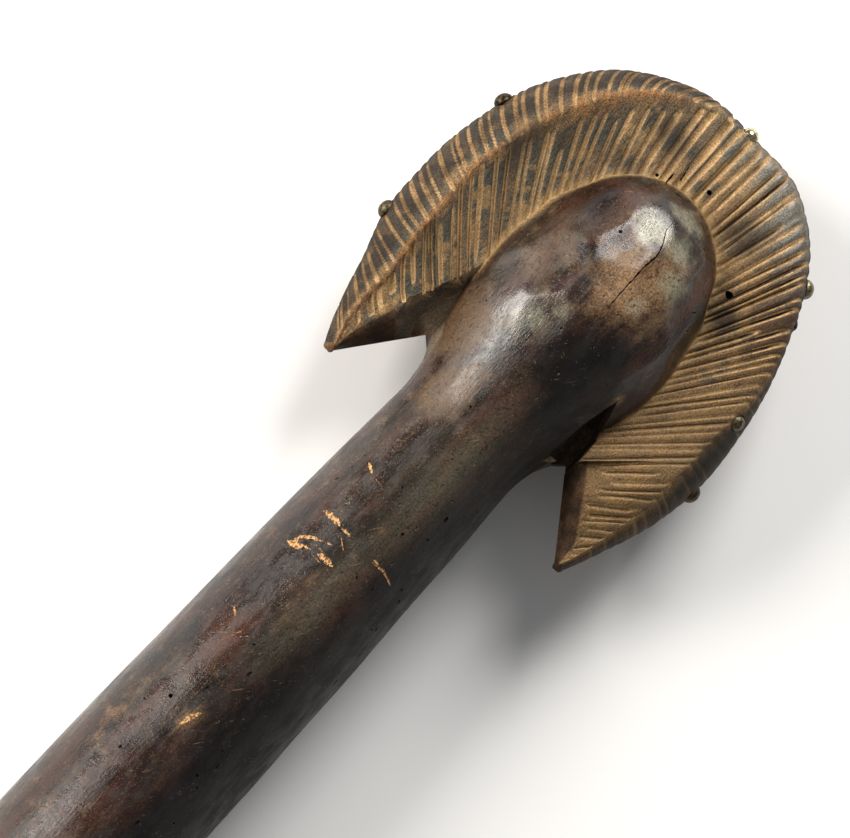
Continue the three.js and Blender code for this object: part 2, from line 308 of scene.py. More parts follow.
def handled_hardwood():
    """Dense dark hardwood, cut with a blade and polished by hands: a satin sheen over fine streaks."""
    material, tree, shader = new_material("hand-polished dark hardwood")
    mark = {
        name: add(tree, "ShaderNodeAttribute", attribute_name=name).outputs["Fac"]
        for name in ("bloom_and_painted_sheen", "ochre", "rust", "web", "patina_and_painted_sheen", "painted_shade_side", "dark_patches_and_painted_shade", "dust", "shine")
    }
    specks = grain(tree, 0.55, 0.55, offset=(3, 3, 3))
    ragged = grain(tree, 4.5, 4.5, 6.0, (6, 2, 1))
    grit = grain(tree, 0.45, 0.45, offset=(8, 1, 6), fade=(0.36, 0.64))
    tone = weighed(tree, (grain(tree, 14, 0.7, 5.0), 0.35), (specks, 0.35), (ragged, 0.3))
    ground = set_ramp(
        add(tree, "ShaderNodeValToRGB", {"Fac": tone}),
        [(0.38, "#0b0706"), (0.47, "#1f140e"), (0.55, "#35241a"), (0.64, "#5c4431")],
    )
    red = grain(tree, 22, 7, 6.0, (7, 2, 5), fade=(0.46, 0.58, 0, 0.65))
    grey = grain(tree, 44, 8, 6.0, (1, 6, 3), fade=(0.5, 0.64, 0, 0.35))
    black = grain(tree, 26, 7, 6.0, (3, 1, 0), fade=(0.47, 0.6, 0, 0.8))
    pale_specks = grain(tree, 0.5, 0.5, 3.0, (2, 9, 4), fade=(0.58, 0.7, 0, 0.32))
    ochre, rust, web, patina_and_painted_sheen, dark_patches_and_painted_shade = (
        ragged_patch(tree, mark[name], ragged) for name in ("ochre", "rust", "web", "patina_and_painted_sheen", "dark_patches_and_painted_shade")
    )
    ochre = uneven(tree, ochre, grit, 0.35, 0.9)
    web = uneven(tree, web, grit, 0.5, 1)
    dust = uneven(tree, mark["dust"], grit, 0.45, 1)
    pores = grain(tree, 0.8, 0.8, 3.0, (7, 4, 2), fade=(0.57, 0.66, 0, 0.75))
    slanting = grain(tree, 8, 0.3, 2.0, (1, 1, 8), 35, (0.62, 0.72, 0, 0.5))
    steeper = grain(tree, 5, 0.35, 2.0, (5, 3, 8), 118, (0.65, 0.74, 0, 0.45))
    scuffs = uneven(tree, strongest(tree, slanting, steeper), ragged, 0, 1, 0.48, 0.62)
    colour = coated(
        tree,
        ground,
        (red, "#35170f"),
        (grey, "#3d392c"),
        (black, "#080504"),
        (pale_specks, "#84684b"),
        # Soft grey-green band down the staff's middle: patina and painted sheen.
        (uneven(tree, mark["bloom_and_painted_sheen"], grit, 0.2, 0.42), "#6f6b58"),
        (ochre, coated(tree, "#6a4c2d", (specks, "#a9845a"))),
        (uneven(tree, rust, grit, 0.3, 0.9), "#57301d"),
        (web, "#59432c"),
        # Pale grey-green patina where the knob's far facets and the neck catch the light, partly painted
        # sheen.
        (uneven(tree, patina_and_painted_sheen, grit, 0.45, 0.9), "#8b8771"),
        # Painted shade: the right half of the staff, turned from the lights, goes near black.
        (weighed(tree, (mark["painted_shade_side"], 0.78)), "#110a07"),
        # Near black: painted shade on the staff's and the knob's right side, and dark patches by the neck.
        (weighed(tree, (dark_patches_and_painted_shade, 0.93)), "#070404"),
        (dust, "#a5865a"),
        (pores, "#0b0604"),
        (scuffs, "#8a7358"),
    )

    rubbed = grain(tree, 7, 3, 5.0, (2, 8, 1), fade=(0.35, 0.65, 0.19, 0.42))
    dusty = strongest(tree, dust, ochre, weighed(tree, (web, 0.8)))
    gloss = weighed(
        tree, (dusty, 0.3), (patina_and_painted_sheen, -0.06), (mark["shine"], -0.16), (mark["painted_shade_side"], 0.4), start=rubbed
    )
    streaks = grain(tree, 3, 0.5, 4.0, (4, 4, 4))
    hollows = strongest(tree, pores, scuffs)
    height = weighed(tree, (streaks, 0.4), (ragged, 0.4), (specks, 0.12), (hollows, -0.12))
    relief = add(tree, "ShaderNodeBump", {"Height": height, "Strength": 0.6, "Distance": 0.35 * MM})
    connect(
        shader,
        {
            "Base Color": colour,
            "Roughness": gloss,
            "Coat Weight": mark["shine"],
            "Coat Roughness": 0.2,
            "Normal": relief.outputs["Normal"],
        },
    )
    return material


# Marks that the carved wood's colours follow.
CARVED_MARKS = (
    "cut", "face", "band", "tone", "strip", "right_side", "outer", "even", "inner", "dust", "dark_patches_and_painted_shade", "web",
    "polish_and_painted_sheen",
)
# Colours of the carved wood, in the hollows of its grit and on its tops.
CARVED_COLOURS = {
    "dark land": ("#1b1b19", "#535147"),
    "brown land": ("#4c3722", "#94764e"),
    "groove": ("#8a6943", "#d6b27f"),
    "worn away": ("#69502f", "#b18f5f"),
    "rubbed brown": ("#25180f", "#58402a"),
    "even": ("#54402a", "#8d7049"),
    "band": ("#0e0a08", "#33271b"),
    "band groove": ("#5b442b", "#8f7049"),
    "underside": ("#1a110a", "#3a291a"),
    "paler underside": ("#2c1d11", "#5c4229"),
    "web": ("#463422", "#6e5235"),
    "strip": ("#4a3119", "#9b7045"),
    "settled dust": ("#4c3925", "#9a7a55"),
    # Grey of the rubbed lands near the apex, partly painted sheen.
    "polish_and_painted_sheen": ("#454640", "#93948a"),
}


def carved_hardwood():
    """The same wood left from the gouge: pale, dusty grooves between grey-brown lands, orange where worn."""
    material, tree, shader = new_material("gouge-cut dusty hardwood")
    mark = {
        name: add(tree, "ShaderNodeAttribute", attribute_name=name).outputs["Fac"]
        for name in CARVED_MARKS
    }
    grit = grain(tree, 0.33, 0.33, 5.0, (1, 2, 3))
    ragged = grain(tree, 5, 5, 6.0, (5, 3, 2))
    coarse, patches, in_cut, painted_shade_in_deep_cut, off_face = (
        add(
            tree, "ShaderNodeMapRange", dict(zip(FADE_INPUTS, fade)), interpolation_type="SMOOTHSTEP"
        ).outputs[0]
        for fade in (
            (grit, 0.3, 0.7),
            (ragged, 0.4, 0.6),
            (mark["cut"], 0.12, 0.36),
            (mark["cut"], 0.45, 0.75),
            (mark["face"], 0.1, 0.9, 1, 0),
        )
    )
    gritty = {name: coated(tree, dark, (coarse, pale)) for name, (dark, pale) in CARVED_COLOURS.items()}

    browner_left = uneven(tree, mark["tone"], patches, 0, 0.8)
    browner_right = weighed(tree, (mark["tone"], 0.5), start=patches)
    left_land = coated(tree, gritty["dark land"], (browner_left, gritty["brown land"]))
    right_land = coated(tree, gritty["dark land"], (browner_right, gritty["brown land"]))
    # Painted shade: a dark line down the bottom of each deep groove on the right side.
    groove_with_painted_shade = coated(tree, gritty["groove"], (painted_shade_in_deep_cut, "#20150c"))
    in_groove = uneven(tree, in_cut, patches, 0.6, 1)
    off_groove = add(tree, "ShaderNodeMath", {0: 1.0, 1: in_groove}, operation="SUBTRACT", use_clamp=True)
    outer = {0: mark["outer"], 1: off_groove.outputs[0]}
    rubbed = add(tree, "ShaderNodeMath", outer, operation="MULTIPLY", use_clamp=True).outputs[0]
    underside = coated(
        tree,
        gritty["underside"],
        (patches, gritty["paler underside"]),
        (ragged_patch(tree, mark["web"], ragged), gritty["web"]),
    )
    colour = coated(
        tree,
        left_land,
        (mark["right_side"], right_land),
        (in_groove, coated(tree, gritty["groove"], (mark["right_side"], groove_with_painted_shade))),
        (grain(tree, 6, 5, 5.0, (9, 5, 7), fade=(0.52, 0.64, 0, 0.6)), gritty["worn away"]),
        (rubbed, gritty["rubbed brown"]),
        (weighed(tree, (mark["even"], 0.62)), gritty["even"]),
        (
            uneven(tree, mark["band"], patches, 0.95, 0.7),
            coated(tree, gritty["band"], (in_groove, gritty["band groove"])),
        ),
        (off_face, underside),
        (uneven(tree, mark["strip"], patches, 1, 0.4), gritty["strip"]),
        (uneven(tree, mark["inner"], ragged, 0.05, 0.7, 0.4, 0.6), gritty["settled dust"]),
        (uneven(tree, mark["dust"], coarse, 0.45, 1), "#a98a5c"),
        # Near-black patches of the same mark as on the staff, partly painted shade.
        (weighed(tree, (ragged_patch(tree, mark["dark_patches_and_painted_shade"], ragged), 0.8)), "#1f1b16"),
        # Polish near the apex ridge; its grey colour is partly painted sheen.
        (weighed(tree, (mark["polish_and_painted_sheen"], 0.75)), gritty["polish_and_painted_sheen"]),
    )

    polish_and_painted_sheen = uneven(tree, mark["polish_and_painted_sheen"], patches, 1, 0.6)
    links = dict(zip(FADE_INPUTS, (polish_and_painted_sheen, 0, 1, 0.68, 0.25)))
    gloss = add(tree, "ShaderNodeMapRange", links, interpolation_type="SMOOTHSTEP").outputs[0]
    height = weighed(tree, (grain(tree, 2.2, 0.5, 4.0, (4, 4, 4)), 0.35), (ragged, 0.45), (grit, 0.15))
    relief = add(tree, "ShaderNodeBump", {"Height": height, "Strength": 1.0, "Distance": 0.7 * MM})
    connect(
        shader,
        {
            "Base Color": colour,
            "Roughness": gloss,
            "Specular IOR Level": 0.22,
            "Coat Weight": weighed(tree, (mark["polish_and_painted_sheen"], 0.65)),
            "Coat Roughness": 0.3,
            "Normal": relief.outputs["Normal"],
        },
    )
    return material


def bored_hardwood():
    """Inside of a crack or a beetle's hole: dull, almost black."""
    material, _, shader = new_material("dark raw wood in a crack")
    connect(shader, {"Base Color": linear("#120b07"), "Roughness": 0.9, "Specular IOR Level": 0.2})
    return material


def scratched_hardwood():
    """Fresh scratch: paler wood with dust in it, without any polish."""
    material, tree, shader = new_material("pale scratched wood")
    torn = grain(tree, 0.6, 0.6, 5.0, (2, 2, 2), fade=(0.4, 0.58))
    colour = coated(tree, "#5a3a20", (torn, "#c79a66"))
    connect(shader, {"Base Color": colour, "Roughness": 0.8, "Specular IOR Level": 0.3})
    return material


def tack_brass():
    """Old brass, dull and dark brown on most heads and rubbed bright on a few."""
    material, tree, shader = new_material("tarnished brass")
    bright = add(tree, "ShaderNodeAttribute", attribute_name="bright").outputs["Fac"]
    spots = grain(tree, 0.7, 0.7, fade=(0.4, 0.6))
    dull = coated(tree, "#1d1712", (spots, "#4d4232"))
    rubbed = coated(tree, "#a39a7c", (spots, "#dccfa6"))
    links = dict(zip(FADE_INPUTS, (bright, 0, 1, 0.5, 0.2)))
    gloss = add(tree, "ShaderNodeMapRange", links, interpolation_type="SMOOTHSTEP").outputs[0]
    connect(shader, {"Base Color": coated(tree, dull, (bright, rubbed)), "Roughness": gloss, "Metallic": 1.0})
    return material


HANDLED, CARVED, BORED, SCRATCHED = range(4)
WOOD_MATERIALS = [handled_hardwood(), carved_hardwood(), bored_hardwood(), scratched_hardwood()]


# Rim of the crest


# Where the hand-cut rim stands outside its drawn curve (+) or inside it (-), in millimetres, from tip to tip.
HAND_CUT_RIM = [
    (-1, 0), (-0.9, -0.8), (-0.8, -0.3), (-0.65, -0.4), (-0.55, -1.6), (-0.4, -2.4), (-0.3, -0.9),
    (-0.2, 0.1), (-0.12, 1.5), (-0.03, 0.3), (0.06, 1.4), (0.15, 0.9), (0.3, 1.1), (0.5, 1.5), (0.75, 1.1),
    (0.84, -0.3), (0.92, -0.2), (1, 0.8),
]
# Points of the rim's drawn curve, and over how many of them the hand's offsets are smoothed.
RIM_SAMPLES = 8001
RIM_SMOOTHING = 301
# Unevenness of the edge in millimetres, and of the ridge's inset and height as shares, with its wavelength.
EDGE_WAVES = (0.28, 21)
INSET_WAVES = (0.07, 26)
HEIGHT_WAVES = (0.035, 24)


def hand_cut(along):
    places, offsets = zip(*HAND_CUT_RIM)
    window = np.hanning(RIM_SMOOTHING)
    offset = np.interp(along, places, offsets)
    padded = np.pad(offset, len(window) // 2, mode="edge")
    return np.convolve(padded, window / window.sum(), mode="valid")


def rim_table():
    angle = np.linspace(-TIP_ANGLE, TIP_ANGLE, RIM_SAMPLES)
    cos, sin = np.cos(angle), np.sin(angle)
    power = 2 / CREST_SQUARENESS
    squared_x = lerp(CREST_WIDEST, HEAD_LENGTH, np.abs(cos) ** power)
    x = np.where(cos < 0, CREST_WIDEST + HORN_SWEEP * cos, squared_x)
    y = CREST_HALF_WIDTH * np.where(cos < 0, sin, np.sign(sin) * np.abs(sin) ** power)
    steps = np.hypot(np.diff(x), np.diff(y))
    length = np.concatenate([[0], np.cumsum(steps)])
    along = 2 * length / length[-1] - 1
    run_x, run_y = np.gradient(x, length), np.gradient(y, length)
    offset = hand_cut(along)
    return along, x + run_y * offset, y - run_x * offset, length[-1] / 2


RIM_ALONG, RIM_X, RIM_Y, RIM_HALF_LENGTH = rim_table()


def rim_point(along):
    """A point of the rim; along runs from -1 at the right horn tip through the apex to 1 at the left one."""
    return np.stack([np.interp(along, RIM_ALONG, RIM_X), np.interp(along, RIM_ALONG, RIM_Y)], axis=-1)


def rim_normal(along):
    step = 0.01
    tangent = rim_point(along + step) - rim_point(along - step)
    tangent /= np.linalg.norm(tangent, axis=-1, keepdims=True)
    return np.stack([tangent[..., 1], -tangent[..., 0]], axis=-1)


def of_side(name, along):
    left, right = np.array(LEFT[name], float), np.array(RIGHT[name], float)
    return np.where(along > 0, left, right)


def tip_taper(along, at_tip):
    return lerp(1, at_tip, smoothstep(np.abs(along), TAPER_START, 1))


def ridge_inset(along):
    left = smoothstep(np.abs(along), *LEFT["leaves_rim"])
    right = smoothstep(np.abs(along), *RIGHT["leaves_rim"])
    opening = np.where(along > 0, left, right)
    inset = lerp(RIDGE_INSET_AT_APEX, of_side("ridge_inset", along), opening)
    return inset * tip_taper(along, TIP_INSET_SHARE)


def ridge_height(along):
    shoulder = smoothstep(np.abs(along), 0, 0.45)
    height = lerp(RIDGE_HEIGHT_AT_APEX, of_side("ridge_height", along), shoulder)
    return height * tip_taper(along, TIP_HEIGHT_SHARE)


def way_inward(along, ridge):
    """The direction back along the grooves, how far the crest's inner edge lies that way, and its bevel."""
    sweep = math.radians(GROOVE_SWEEP) * np.sin(along * math.pi / 2)
    back = np.stack([-np.cos(sweep), -np.sin(sweep)], axis=-1)
    side = np.where(along >= 0, 1.0, -1.0)
    tip = np.stack([np.zeros_like(along), side * UNDERSIDE_AT_TIP], axis=-1)
    root = np.stack([np.full_like(along, HORN_ROOT), side * ROOT_HALF_WIDTH], axis=-1)
    normal = np.stack([tip[:, 1] - root[:, 1], root[:, 0] - tip[:, 0]], axis=-1)
    to_underside = ((tip - ridge) * normal).sum(axis=1) / (back * normal).sum(axis=1)
    on_horn = ridge[:, 0] + back[:, 0] * to_underside < HORN_ROOT
    length = np.where(
        on_horn, np.maximum(HORN_TIP_WIDTH / 3, to_underside), CREST_HALF_WIDTH - CORE_HALF_WIDTH
    )
    undercut = np.where(on_horn, np.minimum(of_side("undercut", along), length / 2), 0)
    return back, length, undercut


class Grooves:
    """One hand-cut set of grooves: each has its own place, depth, width and ends."""

    def __init__(self, count, half_width, rounded_lands):
        self.count = count
        self.rounded_lands = rounded_lands
        self.half_width = half_width * RANDOM.uniform(0.72, 1.25, count)
        self.centre = np.arange(count) + 0.5 + RANDOM.uniform(-0.2, 0.2, count)
        self.depth = RANDOM.uniform(0.5, 1.25, count)
        self.starts = RANDOM.uniform(-0.2, 0.38, count)
        self.ends = np.where(RANDOM.uniform(0, 1, count) < 0.2, RANDOM.uniform(0.6, 0.9, count), 1.05)
        self.bend = RANDOM.uniform(-0.2, 0.2, count)
        self.wobble = RANDOM.uniform(0, 2 * math.pi, count)

    def depth_at(self, away, share):
        """0 to about 1; away is the distance from the apex, 0 to 1, and share the way up the groove."""
        phase = away * self.count
        deepest = np.zeros(np.broadcast(phase, share).shape)
        for shift in (-1, 0, 1):
            k = np.clip(np.floor(phase).astype(int) + shift, 0, self.count - 1)
            centre = self.centre[k] + self.bend[k] * np.sin(3.2 * share + self.wobble[k])
            across = np.clip(1 - np.abs(phase - centre) / self.half_width[k], 0, 1)
            if self.rounded_lands:
                cut = across**1.7
            else:
                cut = smoothstep(across, 0, 0.8)
            ends = smoothstep(share, self.starts[k] - 0.07, self.starts[k] + 0.07)
            ends = ends * (1 - smoothstep(share, self.ends[k] - 0.1, self.ends[k] + 0.1))
            deepest = np.maximum(deepest, cut * self.depth[k] * ends)
        return deepest


def both_sides(left, right, along, share):
    away = np.abs(along)
    return np.where(along > 0, left.depth_at(away, share), right.depth_at(away, share))


def in_scene(name, data):
    """A new object with this data, linked to the scene."""
    piece = bpy.data.objects.new(name, data)
    bpy.context.scene.collection.objects.link(piece)
    return piece


def mesh_from(name, points, faces, material_index=0, attributes=None):
    """A wood object from points in the head's millimetres, with its float attributes."""
    mesh = bpy.data.meshes.new(name)
    mesh.from_pydata(((points + HEAD_ORIGIN) * MM).tolist(), [], faces)
    for material in WOOD_MATERIALS:
        mesh.materials.append(material)
    mesh.polygons.foreach_set("material_index", np.full(len(faces), material_index, dtype=np.int32))
    for key, values in (attributes or {}).items():
        mesh.attributes.new(key, "FLOAT", "POINT").data.foreach_set("value", values.astype(np.float32))
    return in_scene(name, mesh)


def ring_faces(rings, count):
    """Quads between rings of count points each."""
    first = np.arange(rings - 1)[:, None] * count
    a = first + np.arange(count)[None, :]
    b = first + (np.arange(count)[None, :] + 1) % count
    return np.stack([a, b, b + count, a + count], axis=-1).reshape(-1, 4).tolist()


def closed_faces(rings, count):
    """The same with a flat face on either end."""
    last = (rings - 1) * count
    return ring_faces(rings, count) + [list(range(count))[::-1], list(range(last, last + count))]


def crest_profile(shape, samples, face_grooves, band_grooves, depth_scale):
    """The front half of every section, from the inner edge over the face and the ridge down to the rim."""
    along, ridge, edge, outward, height, inset, back, length, undercut = shape
    bevel_count, face_count, round_count, band_count = samples
    column = along[:, None]
    inner_height = np.minimum(FACE_INNER_HEIGHT, INNER_EDGE_SHARE * height)
    flat_length = length - undercut
    bulge = of_side("bulge", along) * smoothstep(np.abs(along), 0, 0.3) * tip_taper(along, 0)
    crisper = 1 - 0.8 * smoothstep(-along, *RIGHT_HORN_CRISPER)
    rounding = of_side("ridge_rounding", along) * crisper * tip_taper(along, 0.3)
    rounding = np.minimum(rounding, ROUNDING_SHARE * flat_length)

    def face(share):
        z = lerp(inner_height[:, None], height[:, None], share) + bulge[:, None] * np.sin(math.pi * share)
        xy = ridge[:, None] + back[:, None] * (flat_length[:, None] * (1 - share))[..., None]
        return np.concatenate([xy, z[..., None]], axis=-1)

    def band(t):
        share, level = ((1 - t) ** 2 + 2 * t * (1 - t) * drawn for drawn in BAND_DRAWN_TO)
        xy = edge[:, None] - outward[:, None] * (share * inset[:, None])[..., None]
        return np.concatenate([xy, (level * height[:, None])[..., None]], axis=-1)

    ones = np.ones((len(along), 1))
    bevel_share = ones * np.linspace(0, 1, bevel_count, endpoint=False)[None, 1:]
    inner = np.concatenate([ridge + back * length[:, None], np.zeros((len(along), 1))], axis=1)[:, None]
    bevel = lerp(inner, face(0 * ones), bevel_share[..., None])
    round_edge = np.array([0, 0, BEVEL_FULLNESS]) * inner_height[:, None, None]
    bevel = bevel + round_edge * np.sin(math.pi * bevel_share)[..., None]

    last = 1 - rounding / flat_length
    face_share = np.linspace(0, 1, face_count)[None, :] * last[:, None]
    face_cut = both_sides(*face_grooves, column, face_share)
    strip = of_side("plain_strip", along) * smoothstep(along, *STRIP_WIDENS)
    strip = strip * (1 - STRIP_NARROWS_BY * smoothstep(along, *STRIP_NARROWS))
    strip = (strip / flat_length)[:, None]
    worn = 1 - smoothstep(face_share, 1 - 1.4 * strip - 1e-6, 1 - 0.8 * strip)
    face_cut = face_cut * np.where(strip > 0, lerp(STRIP_CUT_SHARE, 1, worn), 1)
    face_cut = face_cut * np.where(column > LEFT_SIDE_FROM, LEFT_CUT_SHARE, 1)

    t_band = np.clip(rounding / (inset + 0.8 * height), 0.02, 0.35)[:, None]
    u = ones * np.linspace(0, 1, round_count + 2)[None, 1:-1]
    start, corner, end = face(last[:, None]), face(ones), band(t_band)
    on_ridge = (
        (1 - u[..., None]) ** 2 * start + 2 * (u * (1 - u))[..., None] * corner + u[..., None] ** 2 * end
    )
    t = lerp(t_band, 1, np.linspace(0, 1, band_count, endpoint=False)[None, :])
    slanted = column - BAND_SLANT * smoothstep(column, 0, 0.15) * (1 - t)
    band_cut = both_sides(*band_grooves, slanted, 0.5 + 0 * t)
    band_depth = np.where(column > 0, *BAND_DEPTH_SHARES)
    over_ridge = lerp(face_cut[:, -1:], band_depth * band_cut[:, :1], u)
    at_rim = of_side("rim_notches", column) / band_depth
    across_band = band_depth * band_cut * lerp(1, at_rim, smoothstep(t, 0.7, 1))

    def across(*values):
        """A value for the whole section, out of those on the bevel, the face, the ridge and the band."""
        stretches = zip(values, (bevel_share, face_share, u, t))
        return np.concatenate([value + 0 * places for value, places in stretches], axis=1)

    points = np.concatenate([bevel, face(face_share), on_ridge, band(t)], axis=1)
    cut = across(0, face_cut, over_ridge, across_band)
    cut = cut * lerp(1, 0.35, smoothstep(np.abs(column), 0.93, 1))
    slope = across(0, 0, 0.6 * u, lerp(0.6, 1, t)) * math.pi / 2
    shallower = 1 - 0.45 * smoothstep(-column, *RIGHT_SIDE_SHALLOWER)
    depth = GROOVE_DEPTH * depth_scale * cut * shallower
    points[..., 2] -= depth * np.cos(slope)
    points[..., :2] -= outward[:, None] * (depth * np.sin(slope))[..., None]

    lengthwise = flat_length[:, None] * (1 - face_share)
    band_wear = np.exp(-((t * (inset + height)[:, None]) / 1.0) ** 2)
    marks = {
        "cut": cut,
        "wear": across(0, np.exp(-(lengthwise / 2.4) ** 2), 1, band_wear),
        "face": across(0, 1, 1, 1),
        "lengthwise": across(0, lengthwise, 0, 0),
        "band": across(0, 0, 0.3 * u, smoothstep(t, 0.05, 0.3)),
    }
    return points, marks


# Marks that the crest hands on to the finished wood.
CREST_MARKS = ("cut", "wear", "face", "lengthwise", "band", "along")
# What they are on the rim itself, where they aren't those of a groove.
RIM_MARKS = {"wear": 0.0, "face": 1.0, "lengthwise": 0.0, "band": 1.0}
# What they are on the rounded noses of the horns.
NOSE_MARKS = {"cut": 0, "wear": 1, "face": 0, "lengthwise": 0, "band": 0}
NOSE_TURNS = np.radians([25, 50, 72])


def crest():
    """The horseshoe crest as a loft of sections through its grooves."""
    right = np.linspace(-1, 0, RIGHT["grooves"] * 9, endpoint=False)
    along = np.concatenate([right, np.linspace(0, 1, LEFT["grooves"] * 12 + 1)])
    outward = rim_normal(along)
    uneven_edge, uneven_inset, uneven_height = (
        size * waves(along * RIM_HALF_LENGTH, wavelength)
        for size, wavelength in (EDGE_WAVES, INSET_WAVES, HEIGHT_WAVES)
    )
    edge = rim_point(along) + outward * uneven_edge[:, None]
    inset = ridge_inset(along) * (1 + uneven_inset)
    height = ridge_height(along) * (1 + uneven_height)
    ridge = edge - outward * inset[:, None]
    back, length, undercut = way_inward(along, ridge)
    shape = (along, ridge, edge, outward, height, inset, back, length, undercut)

    def face_grooves():
        sides = (LEFT, RIGHT)
        return [Grooves(side["grooves"], side["groove_half_width"], side is RIGHT) for side in sides]

    front_face = face_grooves()
    band_grooves = [Grooves(LEFT["band_grooves"], LEFT_BAND_GROOVE_HALF_WIDTH, False), front_face[1]]
    front, front_marks = crest_profile(shape, FRONT_SAMPLES, front_face, band_grooves, 1.0)
    rear, rear_marks = crest_profile(shape, REAR_SAMPLES, face_grooves(), band_grooves, REAR_DEPTH_SHARE)
    rear = (rear * [1, 1, -1])[:, ::-1]

    zero = np.zeros((len(along), 1))
    inner = np.concatenate([ridge + back * length[:, None], zero], axis=1)[:, None]
    rim_cut = of_side("rim_notches", along)[:, None] * both_sides(*band_grooves, along[:, None], zero + 0.5)
    rim = np.concatenate([edge - outward * (GROOVE_DEPTH * rim_cut), zero], axis=1)[:, None]
    points = np.concatenate([inner, front, rim, rear], axis=1)
    marks = {"along": along[:, None] * np.ones(points.shape[:2])}
    for key, on_front in front_marks.items():
        on_rim = RIM_MARKS.get(key, rim_cut) + zero
        marks[key] = np.concatenate([zero, on_front, on_rim, rear_marks[key][:, ::-1]], axis=1)

    noses = []
    for tip in (points[0], points[-1]):
        middle = tip.mean(axis=0)
        noses.append([lerp(middle, tip, math.cos(a)) - [HORN_NOSE * math.sin(a), 0, 0] for a in NOSE_TURNS])
    whole = np.concatenate([np.array(noses[0])[::-1], points, np.array(noses[1])])
    for key, values in marks.items():
        first, last = (np.full((3, values.shape[1]), NOSE_MARKS.get(key, values[i, 0])) for i in (0, -1))
        marks[key] = np.concatenate([first, values, last]).ravel()
    return mesh_from("crest_form", whole.reshape(-1, 3), closed_faces(*whole.shape[:2]), CARVED, marks)


# Staff and knob


def staff_radius(x):
    toward_butt = lerp(BUTT_DIAMETER, GRIP_DIAMETER, smoothstep(x, BUTT, GRIP))
    share = np.clip((NECK_END - x) / (NECK_END - GRIP), 0, 1)
    toward_neck = lerp(NECK_DIAMETER, GRIP_DIAMETER, np.sin(share * math.pi / 2))
    swell = lerp(NECK_DIAMETER, KNOB_DIAMETER, smoothstep(x, NECK_END, 0.9 * KNOB_CENTRE))
    dome_share = np.clip((x - KNOB_CENTRE) / (KNOB_END - KNOB_CENTRE), 0, 1)
    dome = KNOB_DIAMETER * np.sqrt(1 - dome_share**2)
    radius = np.where(x < GRIP, toward_butt, toward_neck)
    radius = np.where(x > NECK_END, swell, radius)
    return np.where(x > KNOB_CENTRE, dome, radius) / 2


def staff_stations():
    """Ring places along the staff: close together on the head and the upper staff, further apart below."""
    butt_round = BUTT + BUTT_ROUNDING * (1 - np.cos(np.linspace(0.15, math.pi / 2, 6)))
    lower = np.linspace(BUTT + BUTT_ROUNDING, -125, 64, endpoint=False)[1:]
    upper = np.linspace(-125, NECK_END, 112, endpoint=False)
    knob = np.linspace(NECK_END, KNOB_CENTRE, 40, endpoint=False)
    dome = lerp(KNOB_CENTRE, KNOB_END, np.sin(np.linspace(0, math.pi / 2, 40, endpoint=False)))
    return np.concatenate([butt_round, lower, upper, knob, dome])


# Middles of the knob's flat tool facets: x, and the angle round the staff in degrees, with 90 in front.
KNOB_FACETS = [
    (66.7, 81), (68, 111), (62, 55), (55.4, 104), (57.3, 127), (64.3, 134), (60.5, 33), (48.5, 84),
    (45.4, 119), (45.7, 58), (76.5, 92), (75, 130), (74.5, 50), (52, 28), (54, 152), (66, 160), (66, 14),
    (40, 97), (38, 140), (37, 40), (33, 72), (31, 118), (58, 78), (46, 6), (46, 172),
]


# How strongly the facets show, and how much wood between them is taken off.
FACET_STRENGTH = 1.3
FACET_LIFT = 0.22
# The staff's unevenness: how many waves add up, their shortest and longest pitch, and the height of each.
HAND_WAVES = 14
HAND_PITCHES = (26, 90)
HAND_HEIGHT = 0.045
# How far the upper staff bends towards the left.
STAFF_BEND = 0.9


def knob_facets(x, angle, radius):
    """The radius where broad tool facets stand on the knob: the closest of many tangent planes."""
    seeds_x, degrees = np.array(KNOB_FACETS, float).T
    seeds_angle = np.radians(degrees)
    seed_radius = staff_radius(seeds_x)
    slope = (staff_radius(seeds_x + 0.2) - staff_radius(seeds_x - 0.2)) / 0.4
    nearest = np.full(radius.shape, 1e3)
    for sx, sa, sr, sl in zip(seeds_x, seeds_angle, seed_radius, slope):
        facing = np.cos(angle - sa)
        plane = (sr + sl * (x - sx)) / np.maximum(facing, 0.2)
        close = (np.abs(x - sx) < 22) & (facing > 0.5)
        nearest = np.where(close, np.minimum(nearest, plane), nearest)
    return np.where(nearest < 900, np.minimum(nearest, radius * 1.03), radius)


